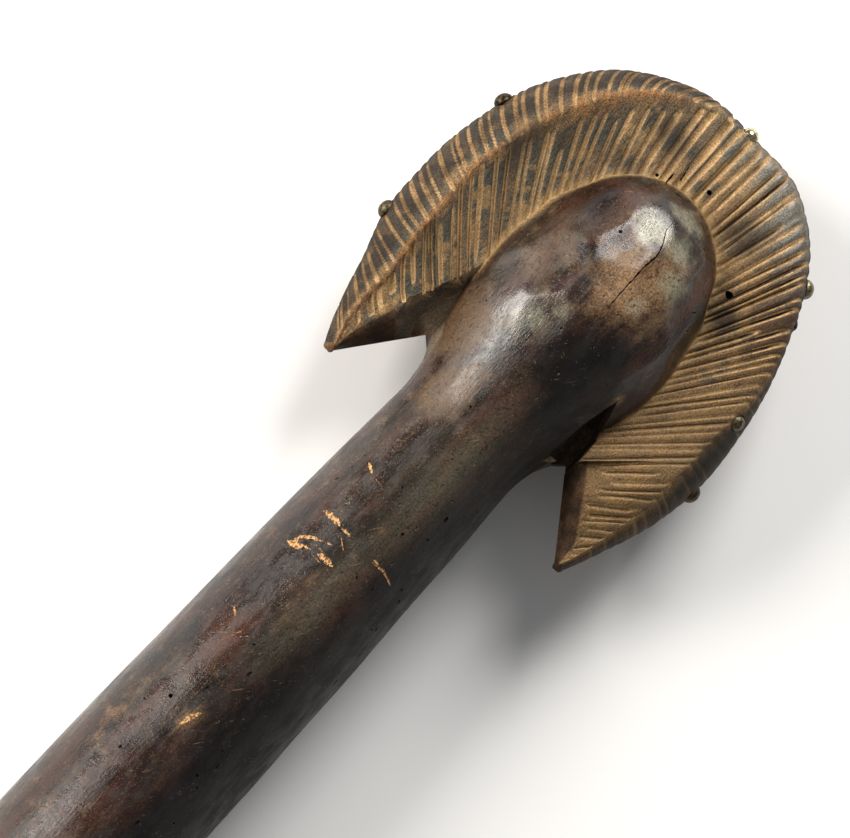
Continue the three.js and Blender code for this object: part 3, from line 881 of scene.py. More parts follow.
def staff():
    x = staff_stations()[:, None]
    front = np.linspace(0, math.pi, 92, endpoint=False)
    behind = np.linspace(math.pi, 2 * math.pi, 40, endpoint=False)
    angle = np.concatenate([front, behind])[None, :]
    radius = staff_radius(x) * np.ones_like(angle)
    drop = np.clip((BUTT + BUTT_ROUNDING - x) / BUTT_ROUNDING, 0, 1)
    radius = radius - BUTT_ROUNDING * (1 - np.sqrt(1 - drop**2))

    on_knob = smoothstep(x, 22, 44) * (np.sin(angle) > -0.2)
    facets = knob_facets(x, angle, radius)
    radius = radius + FACET_STRENGTH * (facets - radius - FACET_LIFT) * on_knob
    hand = np.zeros_like(radius)
    for _ in range(HAND_WAVES):
        turns = RANDOM.integers(1, 6)
        pitch = RANDOM.uniform(*HAND_PITCHES)
        phase = RANDOM.uniform(0, 2 * math.pi)
        hand += np.sin(turns * angle + 2 * math.pi * x / pitch + phase)
    calm = smoothstep(x, BUTT, BUTT + 20) * (1 - 0.5 * smoothstep(x, 10, 40))
    radius = radius + HAND_HEIGHT * hand * calm

    y = radius * np.cos(angle)
    z = radius * np.sin(angle)
    flatter = lerp(1, KNOB_BACK_SHARE, smoothstep(x, 0, KNOB_CENTRE))
    z = np.where(z < 0, z * flatter, z)
    z = np.maximum(z, -REST_DEPTH)
    y = y + STAFF_BEND * smoothstep(x, -220, -20) * (1 - smoothstep(x, 0, 40))
    points = np.stack([x * np.ones_like(y), y, z], axis=-1)
    rings, count = points.shape[:2]
    flat = points.reshape(-1, 3)
    flat = np.concatenate([flat, [[KNOB_END, 0, 0]]])
    faces = ring_faces(rings, count)
    faces.append(list(range(count))[::-1])
    last = (rings - 1) * count
    faces += [[last + i, last + (i + 1) % count, len(flat) - 1] for i in range(count)]
    return mesh_from("staff_form", flat, faces, HANDLED)


def root():
    """The flattened cone by which the crest's root grows out of the neck."""
    x = np.array([*np.linspace(ROOT_START, HORN_ROOT, 12), *np.linspace(HORN_ROOT, KNOB_CENTRE, 8)[1:]])
    widening = np.clip((x - ROOT_START) / (HORN_ROOT - ROOT_START), 0, 1) ** 0.8
    angle = np.linspace(0, 2 * math.pi, 96, endpoint=False)
    slimmer = np.where(np.cos(angle) < 0, RIGHT_ROOT_SLIMMER, 0) * np.cos(angle) ** 2
    radius = lerp(NECK_DIAMETER / 2 - 1.6, ROOT_HALF_WIDTH, widening)[:, None] - slimmer
    y = radius * np.cos(angle)
    z = radius * np.sin(angle) * ROOT_THICKNESS / (2 * ROOT_HALF_WIDTH)
    points = np.stack([x[:, None] * np.ones_like(y), y, z], axis=-1).reshape(-1, 3)
    return mesh_from("root_form", points, closed_faces(len(x), len(angle)), CARVED)


# Cutting and joining

ABOVE_THE_WOOD = 60.0
# How far a cut for a crack or a scratch starts above the wood.
STROKE_LIFT = 0.5


def baked(piece):
    """Turns the object and its modifiers into a plain mesh."""
    result = bpy.data.meshes.new_from_object(piece.evaluated_get(bpy.context.evaluated_depsgraph_get()))
    piece.modifiers.clear()
    piece.data = result
    return piece


def combine(piece, other, operation):
    cut = piece.modifiers.new("cut", "BOOLEAN")
    cut.operation = operation
    cut.solver = "MANIFOLD"
    cut.object = other
    baked(piece)
    bpy.data.objects.remove(other)


def surface_point(wood, x, y):
    """The wood's front at (x, y) and its normal, in the head's millimetres."""
    origin = Vector((np.array([x, y, ABOVE_THE_WOOD]) + HEAD_ORIGIN) * MM)
    _, place, normal, _ = wood.ray_cast(origin, Vector((0, 0, -1)))
    return np.array(place) / MM - HEAD_ORIGIN, np.array(normal)


def stroke_cutter(wood, route, width, depth, material_index, steps=22):
    """A tapering V-shaped cut along a route over the wood's front, for a crack or a scratch."""
    route = np.array(route, float)
    lengths = np.concatenate([[0], np.cumsum(np.linalg.norm(np.diff(route, axis=0), axis=1))])
    at = np.linspace(0, lengths[-1], steps)
    xs, ys = np.interp(at, lengths, route[:, 0]), np.interp(at, lengths, route[:, 1])
    points = []
    for i, (x, y) in enumerate(zip(xs, ys)):
        place, normal = surface_point(wood, x, y)
        before, after = max(i - 1, 0), min(i + 1, steps - 1)
        across = np.cross(normal, [xs[after] - xs[before], ys[after] - ys[before], 0])
        across /= np.linalg.norm(across)
        swell = math.sin(math.pi * (i + 0.15) / (steps - 0.7)) ** 0.6
        half = width / 2 * swell * RANDOM.uniform(0.5, 1.35)
        down = depth * swell
        spread = half * (1 + STROKE_LIFT / down)
        middle = place + across * RANDOM.uniform(-0.12, 0.12) * width
        lip = middle + normal * STROKE_LIFT
        points += [lip + across * spread, lip - across * spread, middle - normal * down]
    return np.array(points), closed_faces(steps, 3), material_index


def bore_cutter(place, axis, beside, rings, sides, ragged=0.0, stretch=1.0):
    """A round bore along an axis through rings of (level, radius); beetles leave a ragged, stretched one."""
    across = np.cross(axis, beside)
    across /= np.linalg.norm(across)
    aside = np.cross(axis, across)
    points = []
    for level, radius in rings:
        for k in range(sides):
            angle = 2 * math.pi * k / sides
            reach = radius * (RANDOM.uniform(1 - ragged, 1 + ragged) if ragged else 1)
            rim = across * math.cos(angle) * reach * stretch + aside * math.sin(angle) * reach
            points.append(place + axis * level + rim)
    return np.array(points), closed_faces(len(rings), sides), BORED


def beetle_hole(wood, x, y, radius, depth, stretch, turn):
    rings = [(0.8, 1.15 * radius), (0, radius), (-depth * 0.6, 0.85 * radius), (-depth, 0.45 * radius)]
    beside = [math.cos(turn), math.sin(turn), 0]
    return bore_cutter(*surface_point(wood, x, y), beside, rings, 12, 0.12, stretch)


def join_cutters(name, parts):
    """One mesh of several closed cutters, each with its own material index, turned the right way out."""
    points, faces, slots = [], [], []
    for part_points, part_faces, slot in parts:
        faces += [[v + len(points) for v in face] for face in part_faces]
        slots += [slot] * len(part_faces)
        points += list(part_points)
    cutter = mesh_from(name, np.array(points), faces)
    cutter.data.polygons.foreach_set("material_index", slots)
    shape = bmesh.new()
    shape.from_mesh(cutter.data)
    bmesh.ops.recalc_face_normals(shape, faces=shape.faces)
    shape.to_mesh(cutter.data)
    shape.free()
    return cutter


# Tacks

# Name, place along the rim, lean towards the front in degrees, head diameter, how bright its brass is.
TACKS = [
    ("left_horn", 0.745, 0, 4.6, 0.05),
    ("left_shoulder", 0.465, 0, 4.6, 0.0),
    ("apex", -0.005, 38, 4.2, 1.0),
    ("right_shoulder", -0.305, 6, 4.6, 0.3),
    ("right_side", -0.37, -14, 3.4, 0.0),
    ("right_ridge", -0.59, 50, 3.8, 0.15),
    ("right_horn", -0.73, 0, 4.6, 0.05),
]
TACK_HEAD_HEIGHT_SHARE = 0.42
TACK_UNDERSIDE_SHARE = 0.12
TACK_SHANK_DIAMETER = 1.3
TACK_SHANK_LENGTH = 7
TACK_SEAT_DEPTH = 0.3
TACK_CLEARANCE = 0.3
TACK_DENTS = 0.12
DENTS_PER_METRE = 900.0
# The head on which a shank has just the size above; it grows and shrinks with its head.
TACK_USUAL_DIAMETER = 4.4


def tack_place(along, lean):
    """Middle of the head's underside and the way the tack points, as in the solids."""
    at = np.array([float(along)])
    outward = np.append(rim_normal(at)[0], 0)
    rise = math.sin(math.radians(lean))
    edge = np.append(rim_point(at)[0], 0)
    seat = edge - outward * (ridge_inset(at)[0] * rise**2 + TACK_SEAT_DEPTH)
    seat[2] = ridge_height(at)[0] * rise
    return seat, outward * math.cos(math.radians(lean)) + np.array([0, 0, rise])


def scattered(name, places, marks, settings, shape):
    """A shape made with geometry nodes on every place, turned and sized by its marks and a little dented."""
    mesh = bpy.data.meshes.new(name)
    mesh.from_pydata(places, [], [])
    for key, values in marks.items():
        kind, field = ("FLOAT_VECTOR", "vector") if np.ndim(values) == 2 else ("FLOAT", "value")
        mesh.attributes.new(key, kind, "POINT").data.foreach_set(field, np.ravel(values))
    piece = in_scene(name, mesh)

    tree = bpy.data.node_groups.new(name, "GeometryNodeTree")
    sockets = {"Points": "Geometry", **dict.fromkeys(settings, "Float"), "Material": "Material"}
    for key, kind in sockets.items():
        tree.interface.new_socket(key, in_out="INPUT", socket_type="NodeSocket" + kind)
    tree.interface.new_socket("Result", in_out="OUTPUT", socket_type="NodeSocketGeometry")
    given = add(tree, "NodeGroupInput").outputs
    turn, size = (
        add(tree, "GeometryNodeInputNamedAttribute", {"Name": key}, data_type="FLOAT_VECTOR").outputs[0]
        for key in ("turn", "size")
    )
    links = {"Points": given["Points"], "Instance": shape(tree, given), "Rotation": turn, "Scale": size}
    instances = add(tree, "GeometryNodeInstanceOnPoints", links).outputs[0]
    real = add(tree, "GeometryNodeRealizeInstances", {0: instances}).outputs[0]
    noise = add(tree, "ShaderNodeTexNoise", {"Scale": DENTS_PER_METRE, "Detail": 2.0}).outputs["Color"]
    centred = add(tree, "ShaderNodeVectorMath", {0: noise, 1: (0.5, 0.5, 0.5)}, operation="SUBTRACT")
    reach = {0: centred.outputs[0], "Scale": given["Dents"]}
    pushed = add(tree, "ShaderNodeVectorMath", reach, operation="SCALE").outputs[0]
    worn = add(tree, "GeometryNodeSetPosition", {"Geometry": real, "Offset": pushed}).outputs[0]
    smooth = add(tree, "GeometryNodeSetShadeSmooth", {"Geometry": worn}).outputs[0]
    covered = {"Geometry": smooth, "Material": given["Material"]}
    add(tree, "NodeGroupOutput", {0: add(tree, "GeometryNodeSetMaterial", covered).outputs[0]})

    nodes = piece.modifiers.new(name, "NODES")
    nodes.node_group = tree
    for item in tree.interface.items_tree:
        if item.name in settings:
            nodes[item.identifier] = settings[item.name]
    return baked(piece)


def tack_shape(tree, given):
    """A domed head 1 across with a flat underside, over a pointed shank."""
    ball = add(tree, "GeometryNodeMeshUVSphere", {"Segments": 28, "Rings": 18, "Radius": 0.5}).outputs["Mesh"]
    position = add(tree, "GeometryNodeInputPosition").outputs[0]
    parts = add(tree, "ShaderNodeSeparateXYZ", {0: position}).outputs
    above, below = (
        add(tree, "ShaderNodeMath", {0: parts["Z"], 1: factor}, operation="MULTIPLY").outputs[0]
        for factor in (given["Dome"], TACK_UNDERSIDE_SHARE)
    )
    height = add(tree, "ShaderNodeMath", {0: above, 1: below}, operation="MAXIMUM").outputs[0]
    shaped = add(tree, "ShaderNodeCombineXYZ", {"X": parts["X"], "Y": parts["Y"], "Z": height}).outputs[0]
    head = add(tree, "GeometryNodeSetPosition", {"Geometry": ball, "Position": shaped}).outputs[0]
    cone = {"Vertices": 12, "Side Segments": 2, "Radius Top": 0.02}
    cone.update({"Radius Bottom": given["Shank radius"], "Depth": given["Shank length"]})
    shank = add(tree, "GeometryNodeMeshCone", cone, fill_type="NGON").outputs["Mesh"]
    turned = add(tree, "GeometryNodeTransform", {"Geometry": shank, "Rotation": (math.pi, 0, 0)}).outputs[0]
    both = add(tree, "GeometryNodeJoinGeometry")
    tree.links.new(turned, both.inputs[0])
    tree.links.new(head, both.inputs[0])
    return both.outputs[0]


def tacks(material):
    places = [tack_place(along, lean) for _, along, lean, _, _ in TACKS]
    marks = {
        "turn": [Vector(axis).to_track_quat("Z", "X").to_euler() for _, axis in places],
        "size": [(diameter * MM,) * 3 for _, _, _, diameter, _ in TACKS],
        "bright": [row[4] for row in TACKS],
    }
    settings = {
        "Dome": 2 * TACK_HEAD_HEIGHT_SHARE,
        "Shank radius": TACK_SHANK_DIAMETER / 2 / TACK_USUAL_DIAMETER,
        "Shank length": TACK_SHANK_LENGTH / TACK_USUAL_DIAMETER,
        "Dents": TACK_DENTS * MM,
        "Material": material,
    }
    seats = [(seat + HEAD_ORIGIN) * MM for seat, _ in places]
    return scattered("brass_tacks", seats, marks, settings, tack_shape)


def seat_cutters():
    """A round seat for every tack's head, and a hole for its shank."""
    parts = []
    for _, along, lean, diameter, _ in TACKS:
        wide, narrow = ((across + TACK_CLEARANCE) / 2 for across in (diameter, TACK_SHANK_DIAMETER))
        deepest = -TACK_SHANK_LENGTH - TACK_CLEARANCE
        rings = [(3.0, wide), (-0.05, wide), (-0.06, narrow), (deepest, narrow / 2)]
        parts.append(bore_cutter(*tack_place(along, lean), [0.3, 0.2, 1.0], rings, 24))
    return parts


# The carved piece

# Routes over the front in the head's millimetres, with the width and depth of each cut.
CRACK = [
    (71.2, 0.3), (67.8, 0.5), (65.0, -0.8), (61.5, -1.6), (57.3, -1.0), (53.7, -1.0), (50.2, -1.0),
    (44, -1.2),
]
CRACK_CUT = (0.42, 1.3)
EDGE_CRACKS = [[(85.4, 5.2), (81.4, 4.3)], [(81.4, 6.6), (77.9, 6.4)], [(77.4, 4.6), (78.1, 0.8)]]
EDGE_CRACK_CUT = (0.6, 1.2)
SCRATCHES = [
    ([(-30.7, 13.2), (-31.0, 10.6), (-31.4, 8.4)], 1.3, 0.22),
    ([(-31.5, 8.2), (-31.7, 6.7), (-31.8, 5.2)], 0.7, 0.2),
    ([(-32.6, -2.0), (-32.4, -3.3), (-32.0, -5.3), (-32.5, -7.5), (-32.9, -9.2)], 0.6, 0.2),
    ([(-31.8, -1.6), (-31.9, -3.6)], 0.5, 0.14),
    ([(-33.0, 7.0), (-35.3, 4.3)], 0.22, 0.12),
    ([(-41.5, 13.6), (-39.1, 13.2), (-37.5, 11.2), (-36.6, 8.9)], 0.85, 0.2),
    ([(-36.5, 8.4), (-35.9, 6.8)], 0.5, 0.15),
    ([(-41.6, 14.4), (-40.9, 12.8), (-40.7, 11.2)], 1.9, 0.24),
    ([(-40.2, 12.0), (-39.9, 9.6)], 0.5, 0.16),
    ([(-39.6, 8.0), (-39.4, 5.8), (-39.7, 3.6)], 1.4, 0.2),
    ([(-38.3, 9.6), (-38.6, 7.4)], 0.3, 0.14),
    ([(-40.6, 8.6), (-40.9, 6.0)], 0.25, 0.12),
    ([(-15.7, 13.0), (-17.5, 11.0)], 0.7, 0.18),
    ([(-17.9, 9.8), (-18.4, 7.6)], 0.2, 0.1),
    ([(-84.3, 2.9), (-86.6, 4.3), (-89.8, 4.8)], 1.1, 0.14),
    ([(-60.5, 13.4), (-62.5, 11.8)], 0.5, 0.2),
    ([(-64.8, 8.8), (-68.2, 12.6)], 0.16, 0.1),
    ([(-63.0, 8.2), (-69.4, 10.8)], 0.16, 0.1),
]
# Place over the front, radius and depth.
BEETLE_HOLES = [
    (69.9, -21.3, 0.95, 2.6), (83.9, -2.2, 0.55, 1.8), (-85.8, 10.3, 0.5, 1.2), (78.6, 9.0, 0.4, 1.2),
]
PITS = [
    (-15.1, 14.4), (-19.8, -4.5), (-13.4, -8.2), (-19.6, -8.2), (-30.5, -1.9), (-29.4, -5.8), (-37.6, -2.0),
    (-31.4, -11.8), (-36.7, -6.6), (-42.4, -13.1), (-41.4, -13.9), (-55.8, -0.1), (-61.0, 15.3), (-70.3, 1.0),
    (-101.9, 10.8), (-87.0, -6.4), (-96.8, -7.9), (-112.1, -3.4), (-6.5, -12.5), (-1.0, -14.0), (60.0, 8.0),
]
# Where along the wood more pits are scattered, and up to which share of its half width.
PITS_FROM_TO = (-170, 66)
PITS_REACH = 0.93
SCATTERED_PITS = 46
PIT_SPACING = 2.6
DARK_PITS_SHARE = 0.35
# A vertex this close to the untouched crest takes over its marks.
ON_CREST_WITHIN = 0.4
# Patches of colour don't reach round to the back, below this height.
PATCHES_END_BELOW = -5
# Edges sharper than this many degrees stay crisp.
LIP_ANGLE = 50
# Dust in the crease round the knob: where the crease starts, and how far the near and the wide dust reach.
SEAM_START = 33
SEAM_DUST_REACHES = (1.2, 7)
# Where wear and colour change along the rim: each side's own places, counted from the apex.
WIDE_STRIP = (0.3, 0.22)
STRIP_FADES_IN = (0.06, 0.2)
RIGHT_SIDE_FADES_IN = (-0.03, 0.1)
OUTER_FADES_IN = (0.08, 0.2)
OUTER_FADES_OUT = (0.38, 0.6)
EVEN_FADES_IN = (0.42, 0.62)
POLISH_AND_PAINTED_SHEEN_AROUND = (-0.14, 0.26)
# How far from the ridge the rubbed outer part of the right face fades out, in millimetres.
OUTER_DISTANCES = (6, 17)
# Patches of colour on the front: middle x and y, half length, half width, and strength up to 1.
PATCHES = {
    # Near black: painted shade along the right half of the staff and the knob, and dark patches by the neck
    # and on the crest.
    "dark_patches_and_painted_shade": [
        (30, -4, 9, 8, 1.0), (38, -9, 5, 5, 0.9), (22, -9, 9, 6, 0.7), (-30, -11, 26, 4, 0.75),
        (-95, -9, 50, 10, 0.95), (75, 16, 5, 7, 0.5), (-55, 12, 30, 5, 0.45), (-10, 8, 16, 3, 0.4),
        (60, 15, 10, 5, 0.5), (82, -15, 6, 6, 0.7), (65, -24, 4, 3, 0.8), (87, 12, 5, 7, 0.6),
        (62, 36, 13, 5, 0.5), (40, -43, 13, 4, 0.7), (70, 30, 6, 4, 0.4), (58, -19, 14, 4, 0.65),
        (-60, -8, 60, 5, 0.6),
    ],
    # Pale patina on the knob's far facets and the neck, partly painted sheen where the highlights fall.
    "patina_and_painted_sheen": [
        (66, 3, 3.6, 4.2, 0.95), (66.5, -5, 3.2, 4, 0.8), (74, -2, 2.5, 4.5, 0.6), (33, 8, 6, 5, 0.4),
        (60, -9, 4, 4, 0.6), (50, -6, 4, 3, 0.45),
    ],
    "shine": [(35, 10, 5, 4, 1.0), (67, 3, 5, 5, 0.25)],
    # Soft grey-green band down the staff's middle: patina and painted sheen.
    "bloom_and_painted_sheen": [(-8, -2, 26, 5, 0.9), (-48, 0, 22, 5, 0.8), (-30, -17, 60, 2.5, 0.6)],
    "web": [
        (22, 20, 9, 7, 1.0), (12, -16, 5, 4, 0.5), (30, 27, 9, 4, 0.6), (9, 11, 9, 5, 0.8),
        (51, 16, 10, 5, 0.5), (43, 17, 6, 4, 0.7),
    ],
    "ochre": [
        (53, -2, 10, 9, 0.8), (62, -6, 6, 6, 0.6), (49, -11, 6, 3, 0.5), (-87, 4.2, 5, 2.2, 0.48),
        (-96, 16, 8, 2, 0.3),
    ],
    "rust": [
        (-66, 11, 9, 4.5, 0.75), (-46, -7, 8, 3, 0.9), (58, 13, 9, 5, 0.4), (63, -17, 10, 4, 0.7),
        (66, 9, 5, 5, 0.45), (-100, -3, 14, 3.5, 0.5),
    ],
}


def ball_shape(tree, given):
    return add(tree, "GeometryNodeMeshIcoSphere", {"Radius": 1.0, "Subdivisions": 2}).outputs["Mesh"]


def pits(wood):
    """Small dents and pores over the front of the staff and knob, as a cutter."""
    spots = list(PITS)
    while len(spots) < len(PITS) + SCATTERED_PITS:
        x, share = RANDOM.uniform(*PITS_FROM_TO), RANDOM.uniform(-PITS_REACH, PITS_REACH)
        spot = (x, share * float(staff_radius(np.array(x))))
        if min(math.dist(spot, other) for other in spots) > PIT_SPACING:
            spots.append(spot)
    places, turns, sizes = [], [], []
    for x, y in spots:
        place, normal = surface_point(wood, x, y)
        lengthwise = Quaternion(normal, RANDOM.uniform(-0.9, 0.9)) @ Vector((1, 0, 0))
        upright = Vector(normal).to_track_quat("Z", "X")
        local = upright.inverted() @ lengthwise
        turn = upright @ Quaternion((0, 0, 1), math.atan2(local.y, local.x))
        places.append((place + HEAD_ORIGIN) * MM)
        turns.append(turn.to_euler())
        long = RANDOM.uniform(0.25, 0.55) + 0.5 * RANDOM.uniform(0, 1) ** 3
        sizes.append(np.array([long, RANDOM.uniform(0.2, 0.45), RANDOM.uniform(0.15, 0.35)]) * MM)
    settings = {"Dents": 0.0, "Material": WOOD_MATERIALS[BORED]}
    piece = scattered("pits", places, {"turn": turns, "size": sizes}, settings, ball_shape)
    piece.data.materials.clear()
    for material in WOOD_MATERIALS:
        piece.data.materials.append(material)
    faces_each = len(piece.data.polygons) // len(spots)
    slots = np.where(RANDOM.uniform(0, 1, len(spots)) < DARK_PITS_SHARE, BORED, HANDLED)
    piece.data.polygons.foreach_set("material_index", np.repeat(slots, faces_each).astype(np.int32))
    return piece


def hollow_by_left_horn():
    """The slanting underside that runs from the left horn up to the knob, taken off the crest alone."""
    edge = [
        (9, 28.5, 4.5), (14, 30.5, 6), (19, 31.2, 7), (24, 28.6, 7.4), (30, 26.3, 7.8), (37, 24.2, 8),
        (50, 21, 8),
    ]
    foot = [
        (9, 24, 0), (14, 23.5, 0), (18.5, 21.6, 0), (24, 20.2, 0.6), (30, 19, 1.5), (37, 18, 2), (50, 15, 2),
    ]
    points = []
    for (ex, ey, ez), (fx, fy, fz) in zip(edge, foot):
        middle = ((ex + fx) / 2, (ey + fy) / 2 + 0.5, (ez + fz) / 2 - 0.9)
        points += [(ex, ey, 22), (ex, ey, ez), middle, (fx, fy, fz), (fx, fy - 14, fz), (fx, fy - 14, 22)]
    return np.array(points), closed_faces(len(edge), 6), CARVED


def hollow_by_right_horn():
    """The dark pocket between the neck, the knob and the right horn's root."""
    deep = [(15, -22.5, -1.5), (15.5, -16.2, -1.5), (24, -16.8, 1), (32.5, -18.2, 5.5), (25, -21.4, 1)]
    shallow = [(15, -22.5, 13), (15.5, -15.6, 13), (24, -16.2, 15), (33.5, -18, 16), (25, -21.8, 13)]
    return np.array(deep + shallow, float), closed_faces(2, 5), CARVED


def read(items, key, kind=np.int32, width=1):
    """One number, or as many as the width says, of each of a mesh's vertices, faces or corners."""
    values = np.zeros(len(items) * width, dtype=kind)
    items.foreach_get(key, values)
    return values


def lookup(places):
    tree = KDTree(len(places))
    for i, place in enumerate(places):
        tree.insert(place, i)
    tree.balance()
    return tree


def crest_marks(crest_form):
    """The crest's attributes with a lookup of its vertices."""
    mesh = crest_form.data
    source = {name: read(mesh.attributes[name].data, "value", np.float32) for name in CREST_MARKS}
    return lookup([vertex.co for vertex in mesh.vertices]), source


def land_tones(along):
    """A shade of its own for every land between two grooves, 0 to 1."""
    tones = RANDOM.uniform(0, 1, 120)
    count = np.where(along > 0, LEFT["grooves"], RIGHT["grooves"])
    land = np.round(np.abs(along) * count).astype(int)
    return tones[np.clip(land + np.where(along > 0, 0, 60), 0, 119)]


def carved_wood():
    """The whole carving: its forms joined, its details cut, and its marks for the materials."""
    crest_form = crest()
    vertices, crest_values = crest_marks(crest_form)
    combine(crest_form, join_cutters("left_hollow", [hollow_by_left_horn()]), "DIFFERENCE")
    wood = staff()
    combine(wood, root(), "UNION")
    combine(wood, crest_form, "UNION")
    wood.name = wood.data.name = "carved_sceptre_wood"
    combine(wood, join_cutters("hollow", [hollow_by_right_horn()]), "DIFFERENCE")

    parts = seat_cutters()
    parts.append(stroke_cutter(wood, CRACK, *CRACK_CUT, BORED, 30))
    parts += [stroke_cutter(wood, route, *EDGE_CRACK_CUT, BORED, 8) for route in EDGE_CRACKS]
    for hole in BEETLE_HOLES:
        parts.append(beetle_hole(wood, *hole, RANDOM.uniform(1, 1.25), RANDOM.uniform(0, 3)))
    scratches = [stroke_cutter(wood, *scratch, SCRATCHED) for scratch in SCRATCHES]
    dents = pits(wood)
    combine(wood, join_cutters("cuts", parts), "DIFFERENCE")
    for scratch in scratches:
        combine(wood, join_cutters("scratch", [scratch]), "DIFFERENCE")
    combine(wood, dents, "DIFFERENCE")

    marks = surface_marks(wood, vertices, crest_values)
    for attribute in [a.name for a in wood.data.attributes if a.domain == "POINT" and a.name != "position"]:
        wood.data.attributes.remove(wood.data.attributes[attribute])
    for name, values in marks.items():
        wood.data.attributes.new(name, "FLOAT", "POINT").data.foreach_set("value", values.astype(np.float32))
    wood.data.shade_smooth()
    wood.data.set_sharp_from_angle(angle=math.radians(LIP_ANGLE))
    sharpen_lips(wood.data)
    return wood


def surface_marks(wood, vertices, crest_values):
    """Where on the wood each of the materials' effects shows, 0 to 1 at every vertex."""
    places = read(wood.data.vertices, "co", float, 3).reshape(-1, 3)
    head = places / MM - HEAD_ORIGIN
    x, y, z = head.T
    nearest = np.array([vertices.find(place)[1:] for place in places])
    index, on_crest = nearest[:, 0].astype(int), nearest[:, 1] / MM < ON_CREST_WITHIN
    cut, wear, face, lengthwise, band, along = (
        np.where(on_crest, crest_values[name][index], 0) for name in CREST_MARKS
    )
    right = -along
    marks = {"cut": cut, "face": face, "band": band, "tone": land_tones(along)}
    marks["dust"], marks["inner"] = seam_dust(wood, head)
    beside_ridge = np.exp(-((lengthwise / 4.5) ** 4)) * (face > 0) * (band < 0.2)
    wide_strip = 0.8 * beside_ridge * bump_at(along, *WIDE_STRIP)
    marks["strip"] = np.maximum(wear, wide_strip) * smoothstep(along, *STRIP_FADES_IN) * (z > 0)
    marks["right_side"] = smoothstep(right, *RIGHT_SIDE_FADES_IN)
    near_rim = 1 - smoothstep(lengthwise, *OUTER_DISTANCES)
    before_horn = 1 - smoothstep(right, *OUTER_FADES_OUT)
    marks["outer"] = 0.95 * near_rim * smoothstep(right, *OUTER_FADES_IN) * before_horn
    marks["even"] = smoothstep(right, *EVEN_FADES_IN)
    near_ridge = np.exp(-(((lengthwise - 3) / 6) ** 2)) * smoothstep(0.45 - cut, 0, 0.3)
    off_band = 1 - smoothstep(band, 0.1, 0.5)
    # Polish near the apex ridge; the grey that the carved wood lays here is partly painted sheen.
    marks["polish_and_painted_sheen"] = bump_at(along, *POLISH_AND_PAINTED_SHEEN_AROUND) * near_ridge * (z > 0) * off_band
    radius = staff_radius(x.clip(BUTT + 1, KNOB_END - 1)).clip(8)
    # Where shade is painted: the right half of the staff and the neck, the side away from the lights; this
    # side is also made rougher.
    marks["painted_shade_side"] = smoothstep(-y / radius, 0.1, 0.75) * (1 - smoothstep(x, 25, 45))
    for name, patches in PATCHES.items():
        marks[name] = np.zeros(len(head))
        for middle_x, middle_y, half_length, half_width, strength in patches:
            reach = ((x - middle_x) / half_length) ** 2 + ((y - middle_y) / half_width) ** 2
            marks[name] = np.maximum(marks[name], strength * np.exp(-reach) * (z > PATCHES_END_BELOW))
    return marks


def sharpen_lips(mesh):
    """Keeps the light from running smoothly over the lips of cracks, bores and scratches."""
    shape = bmesh.new()
    shape.from_mesh(mesh)
    for edge in shape.edges:
        slots = {face.material_index for face in edge.link_faces}
        if len(slots) > 1 and slots & {BORED, SCRATCHED}:
            edge.smooth = False
    shape.to_mesh(mesh)
    shape.free()


def seam_dust(wood, head):
    """Near 1 in the crease between crest and knob, falling off over a narrow and over a wide strip."""
    mesh = wood.data
    owner = np.repeat(read(mesh.polygons, "material_index"), read(mesh.polygons, "loop_total"))
    corners = read(mesh.loops, "vertex_index")
    on_staff, on_crest = np.zeros((2, len(mesh.vertices)), bool)
    on_staff[corners[owner == HANDLED]] = True
    on_crest[corners[owner == CARVED]] = True
    seam = lookup(head[on_staff & on_crest & (head[:, 0] > SEAM_START)])
    distance = np.array([seam.find(place)[2] for place in head])
    return [np.exp(-((distance / reach) ** 2)) for reach in SEAM_DUST_REACHES]


wood = carved_wood()
brass = tacks(tack_brass())
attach(wood, "root")
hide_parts("carved_wood")
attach(brass, "root")
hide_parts(*[f"tack_{name}" for name, *_ in TACKS])


# Floor, camera and lights

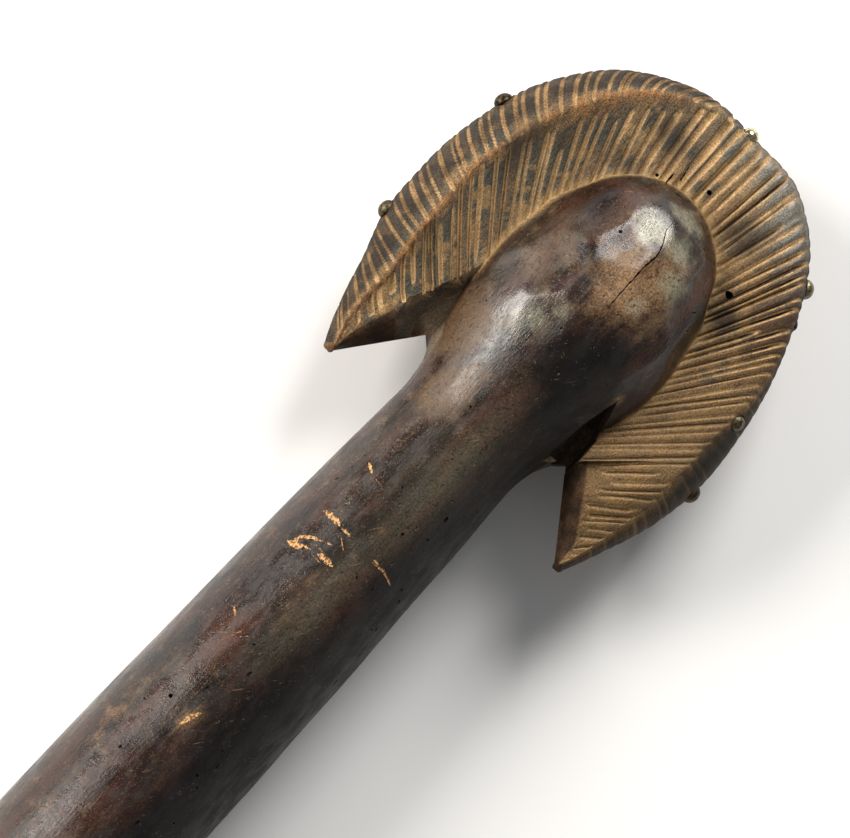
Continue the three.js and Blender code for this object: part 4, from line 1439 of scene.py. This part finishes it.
# The camera's facts come from the photograph: it looks down on the head, almost square on.
PICTURE_MIDDLE = Vector((np.array([2.9, 9.1, 0]) + HEAD_ORIGIN) * MM)
PICTURE_WIDTH = 0.190
CAMERA_DISTANCE = 4.0
SENSOR_WIDTH = 36
FLOOR_REACH = 4.0
CLIP_END = 50
WORLD_STRENGTH = 0.2
tilt_across = math.radians(12)
tilt_along = math.radians(6)
towards_eye = Vector((-math.sin(tilt_across), math.sin(tilt_along), math.cos(tilt_across))).normalized()
staff_line = (Vector((1, 0, 0)) - towards_eye * towards_eye.x).normalized()
beside_line = towards_eye.cross(staff_line)
turn = math.radians(47)
picture_up = staff_line * math.sin(turn) + beside_line * math.cos(turn)
picture_right = picture_up.cross(towards_eye)


def floor():
    mesh = bpy.data.meshes.new("pale_floor")
    corners = [(x * FLOOR_REACH, y * FLOOR_REACH, 0) for x, y in ((-1, -1), (1, -1), (1, 1), (-1, 1))]
    mesh.from_pydata(corners, [], [[0, 1, 2, 3]])
    paper, _, shader = new_material("matt white paper")
    connect(shader, {"Base Color": linear("#f6f6f6"), "Roughness": 0.9, "Specular IOR Level": 0.1})
    mesh.materials.append(paper)
    in_scene("pale_floor", mesh)


def camera():
    lens = bpy.data.cameras.new("camera")
    lens.sensor_width = SENSOR_WIDTH
    lens.lens = SENSOR_WIDTH * CAMERA_DISTANCE / PICTURE_WIDTH
    lens.clip_end = CLIP_END
    piece = in_scene("camera", lens)
    axes = Matrix((picture_right, picture_up, towards_eye)).transposed().to_4x4()
    piece.matrix_world = Matrix.Translation(PICTURE_MIDDLE + towards_eye * CAMERA_DISTANCE) @ axes
    bpy.context.scene.camera = piece


def softbox(name, right, up, towards, size, power, colour):
    """A square soft light; its place is given in metres along the picture's own directions."""
    light = bpy.data.lights.new(name, "AREA")
    light.shape = "SQUARE"
    light.size = size
    light.energy = power
    light.color = linear(colour)[:3]
    piece = in_scene(name, light)
    away = picture_right * right + picture_up * up + towards_eye * towards
    facing = away.to_track_quat("Z", "Y").to_matrix().to_4x4()
    piece.matrix_world = Matrix.Translation(PICTURE_MIDDLE + away) @ facing
    piece.visible_camera = False


floor()
camera()
softbox("upper_left_light", -0.85, 0.6, 0.75, 0.7, 26, "#fffaf3")
softbox("top_right_light", 0.55, 0.85, 0.42, 0.5, 14, "#fffcf8")
world = bpy.data.worlds.new("studio")
world.use_nodes = True
connect(world.node_tree.nodes["Background"], {"Color": linear("#ffffff"), "Strength": WORLD_STRENGTH})
bpy.context.scene.world = world
bpy.context.scene.view_settings.view_transform = "Standard"
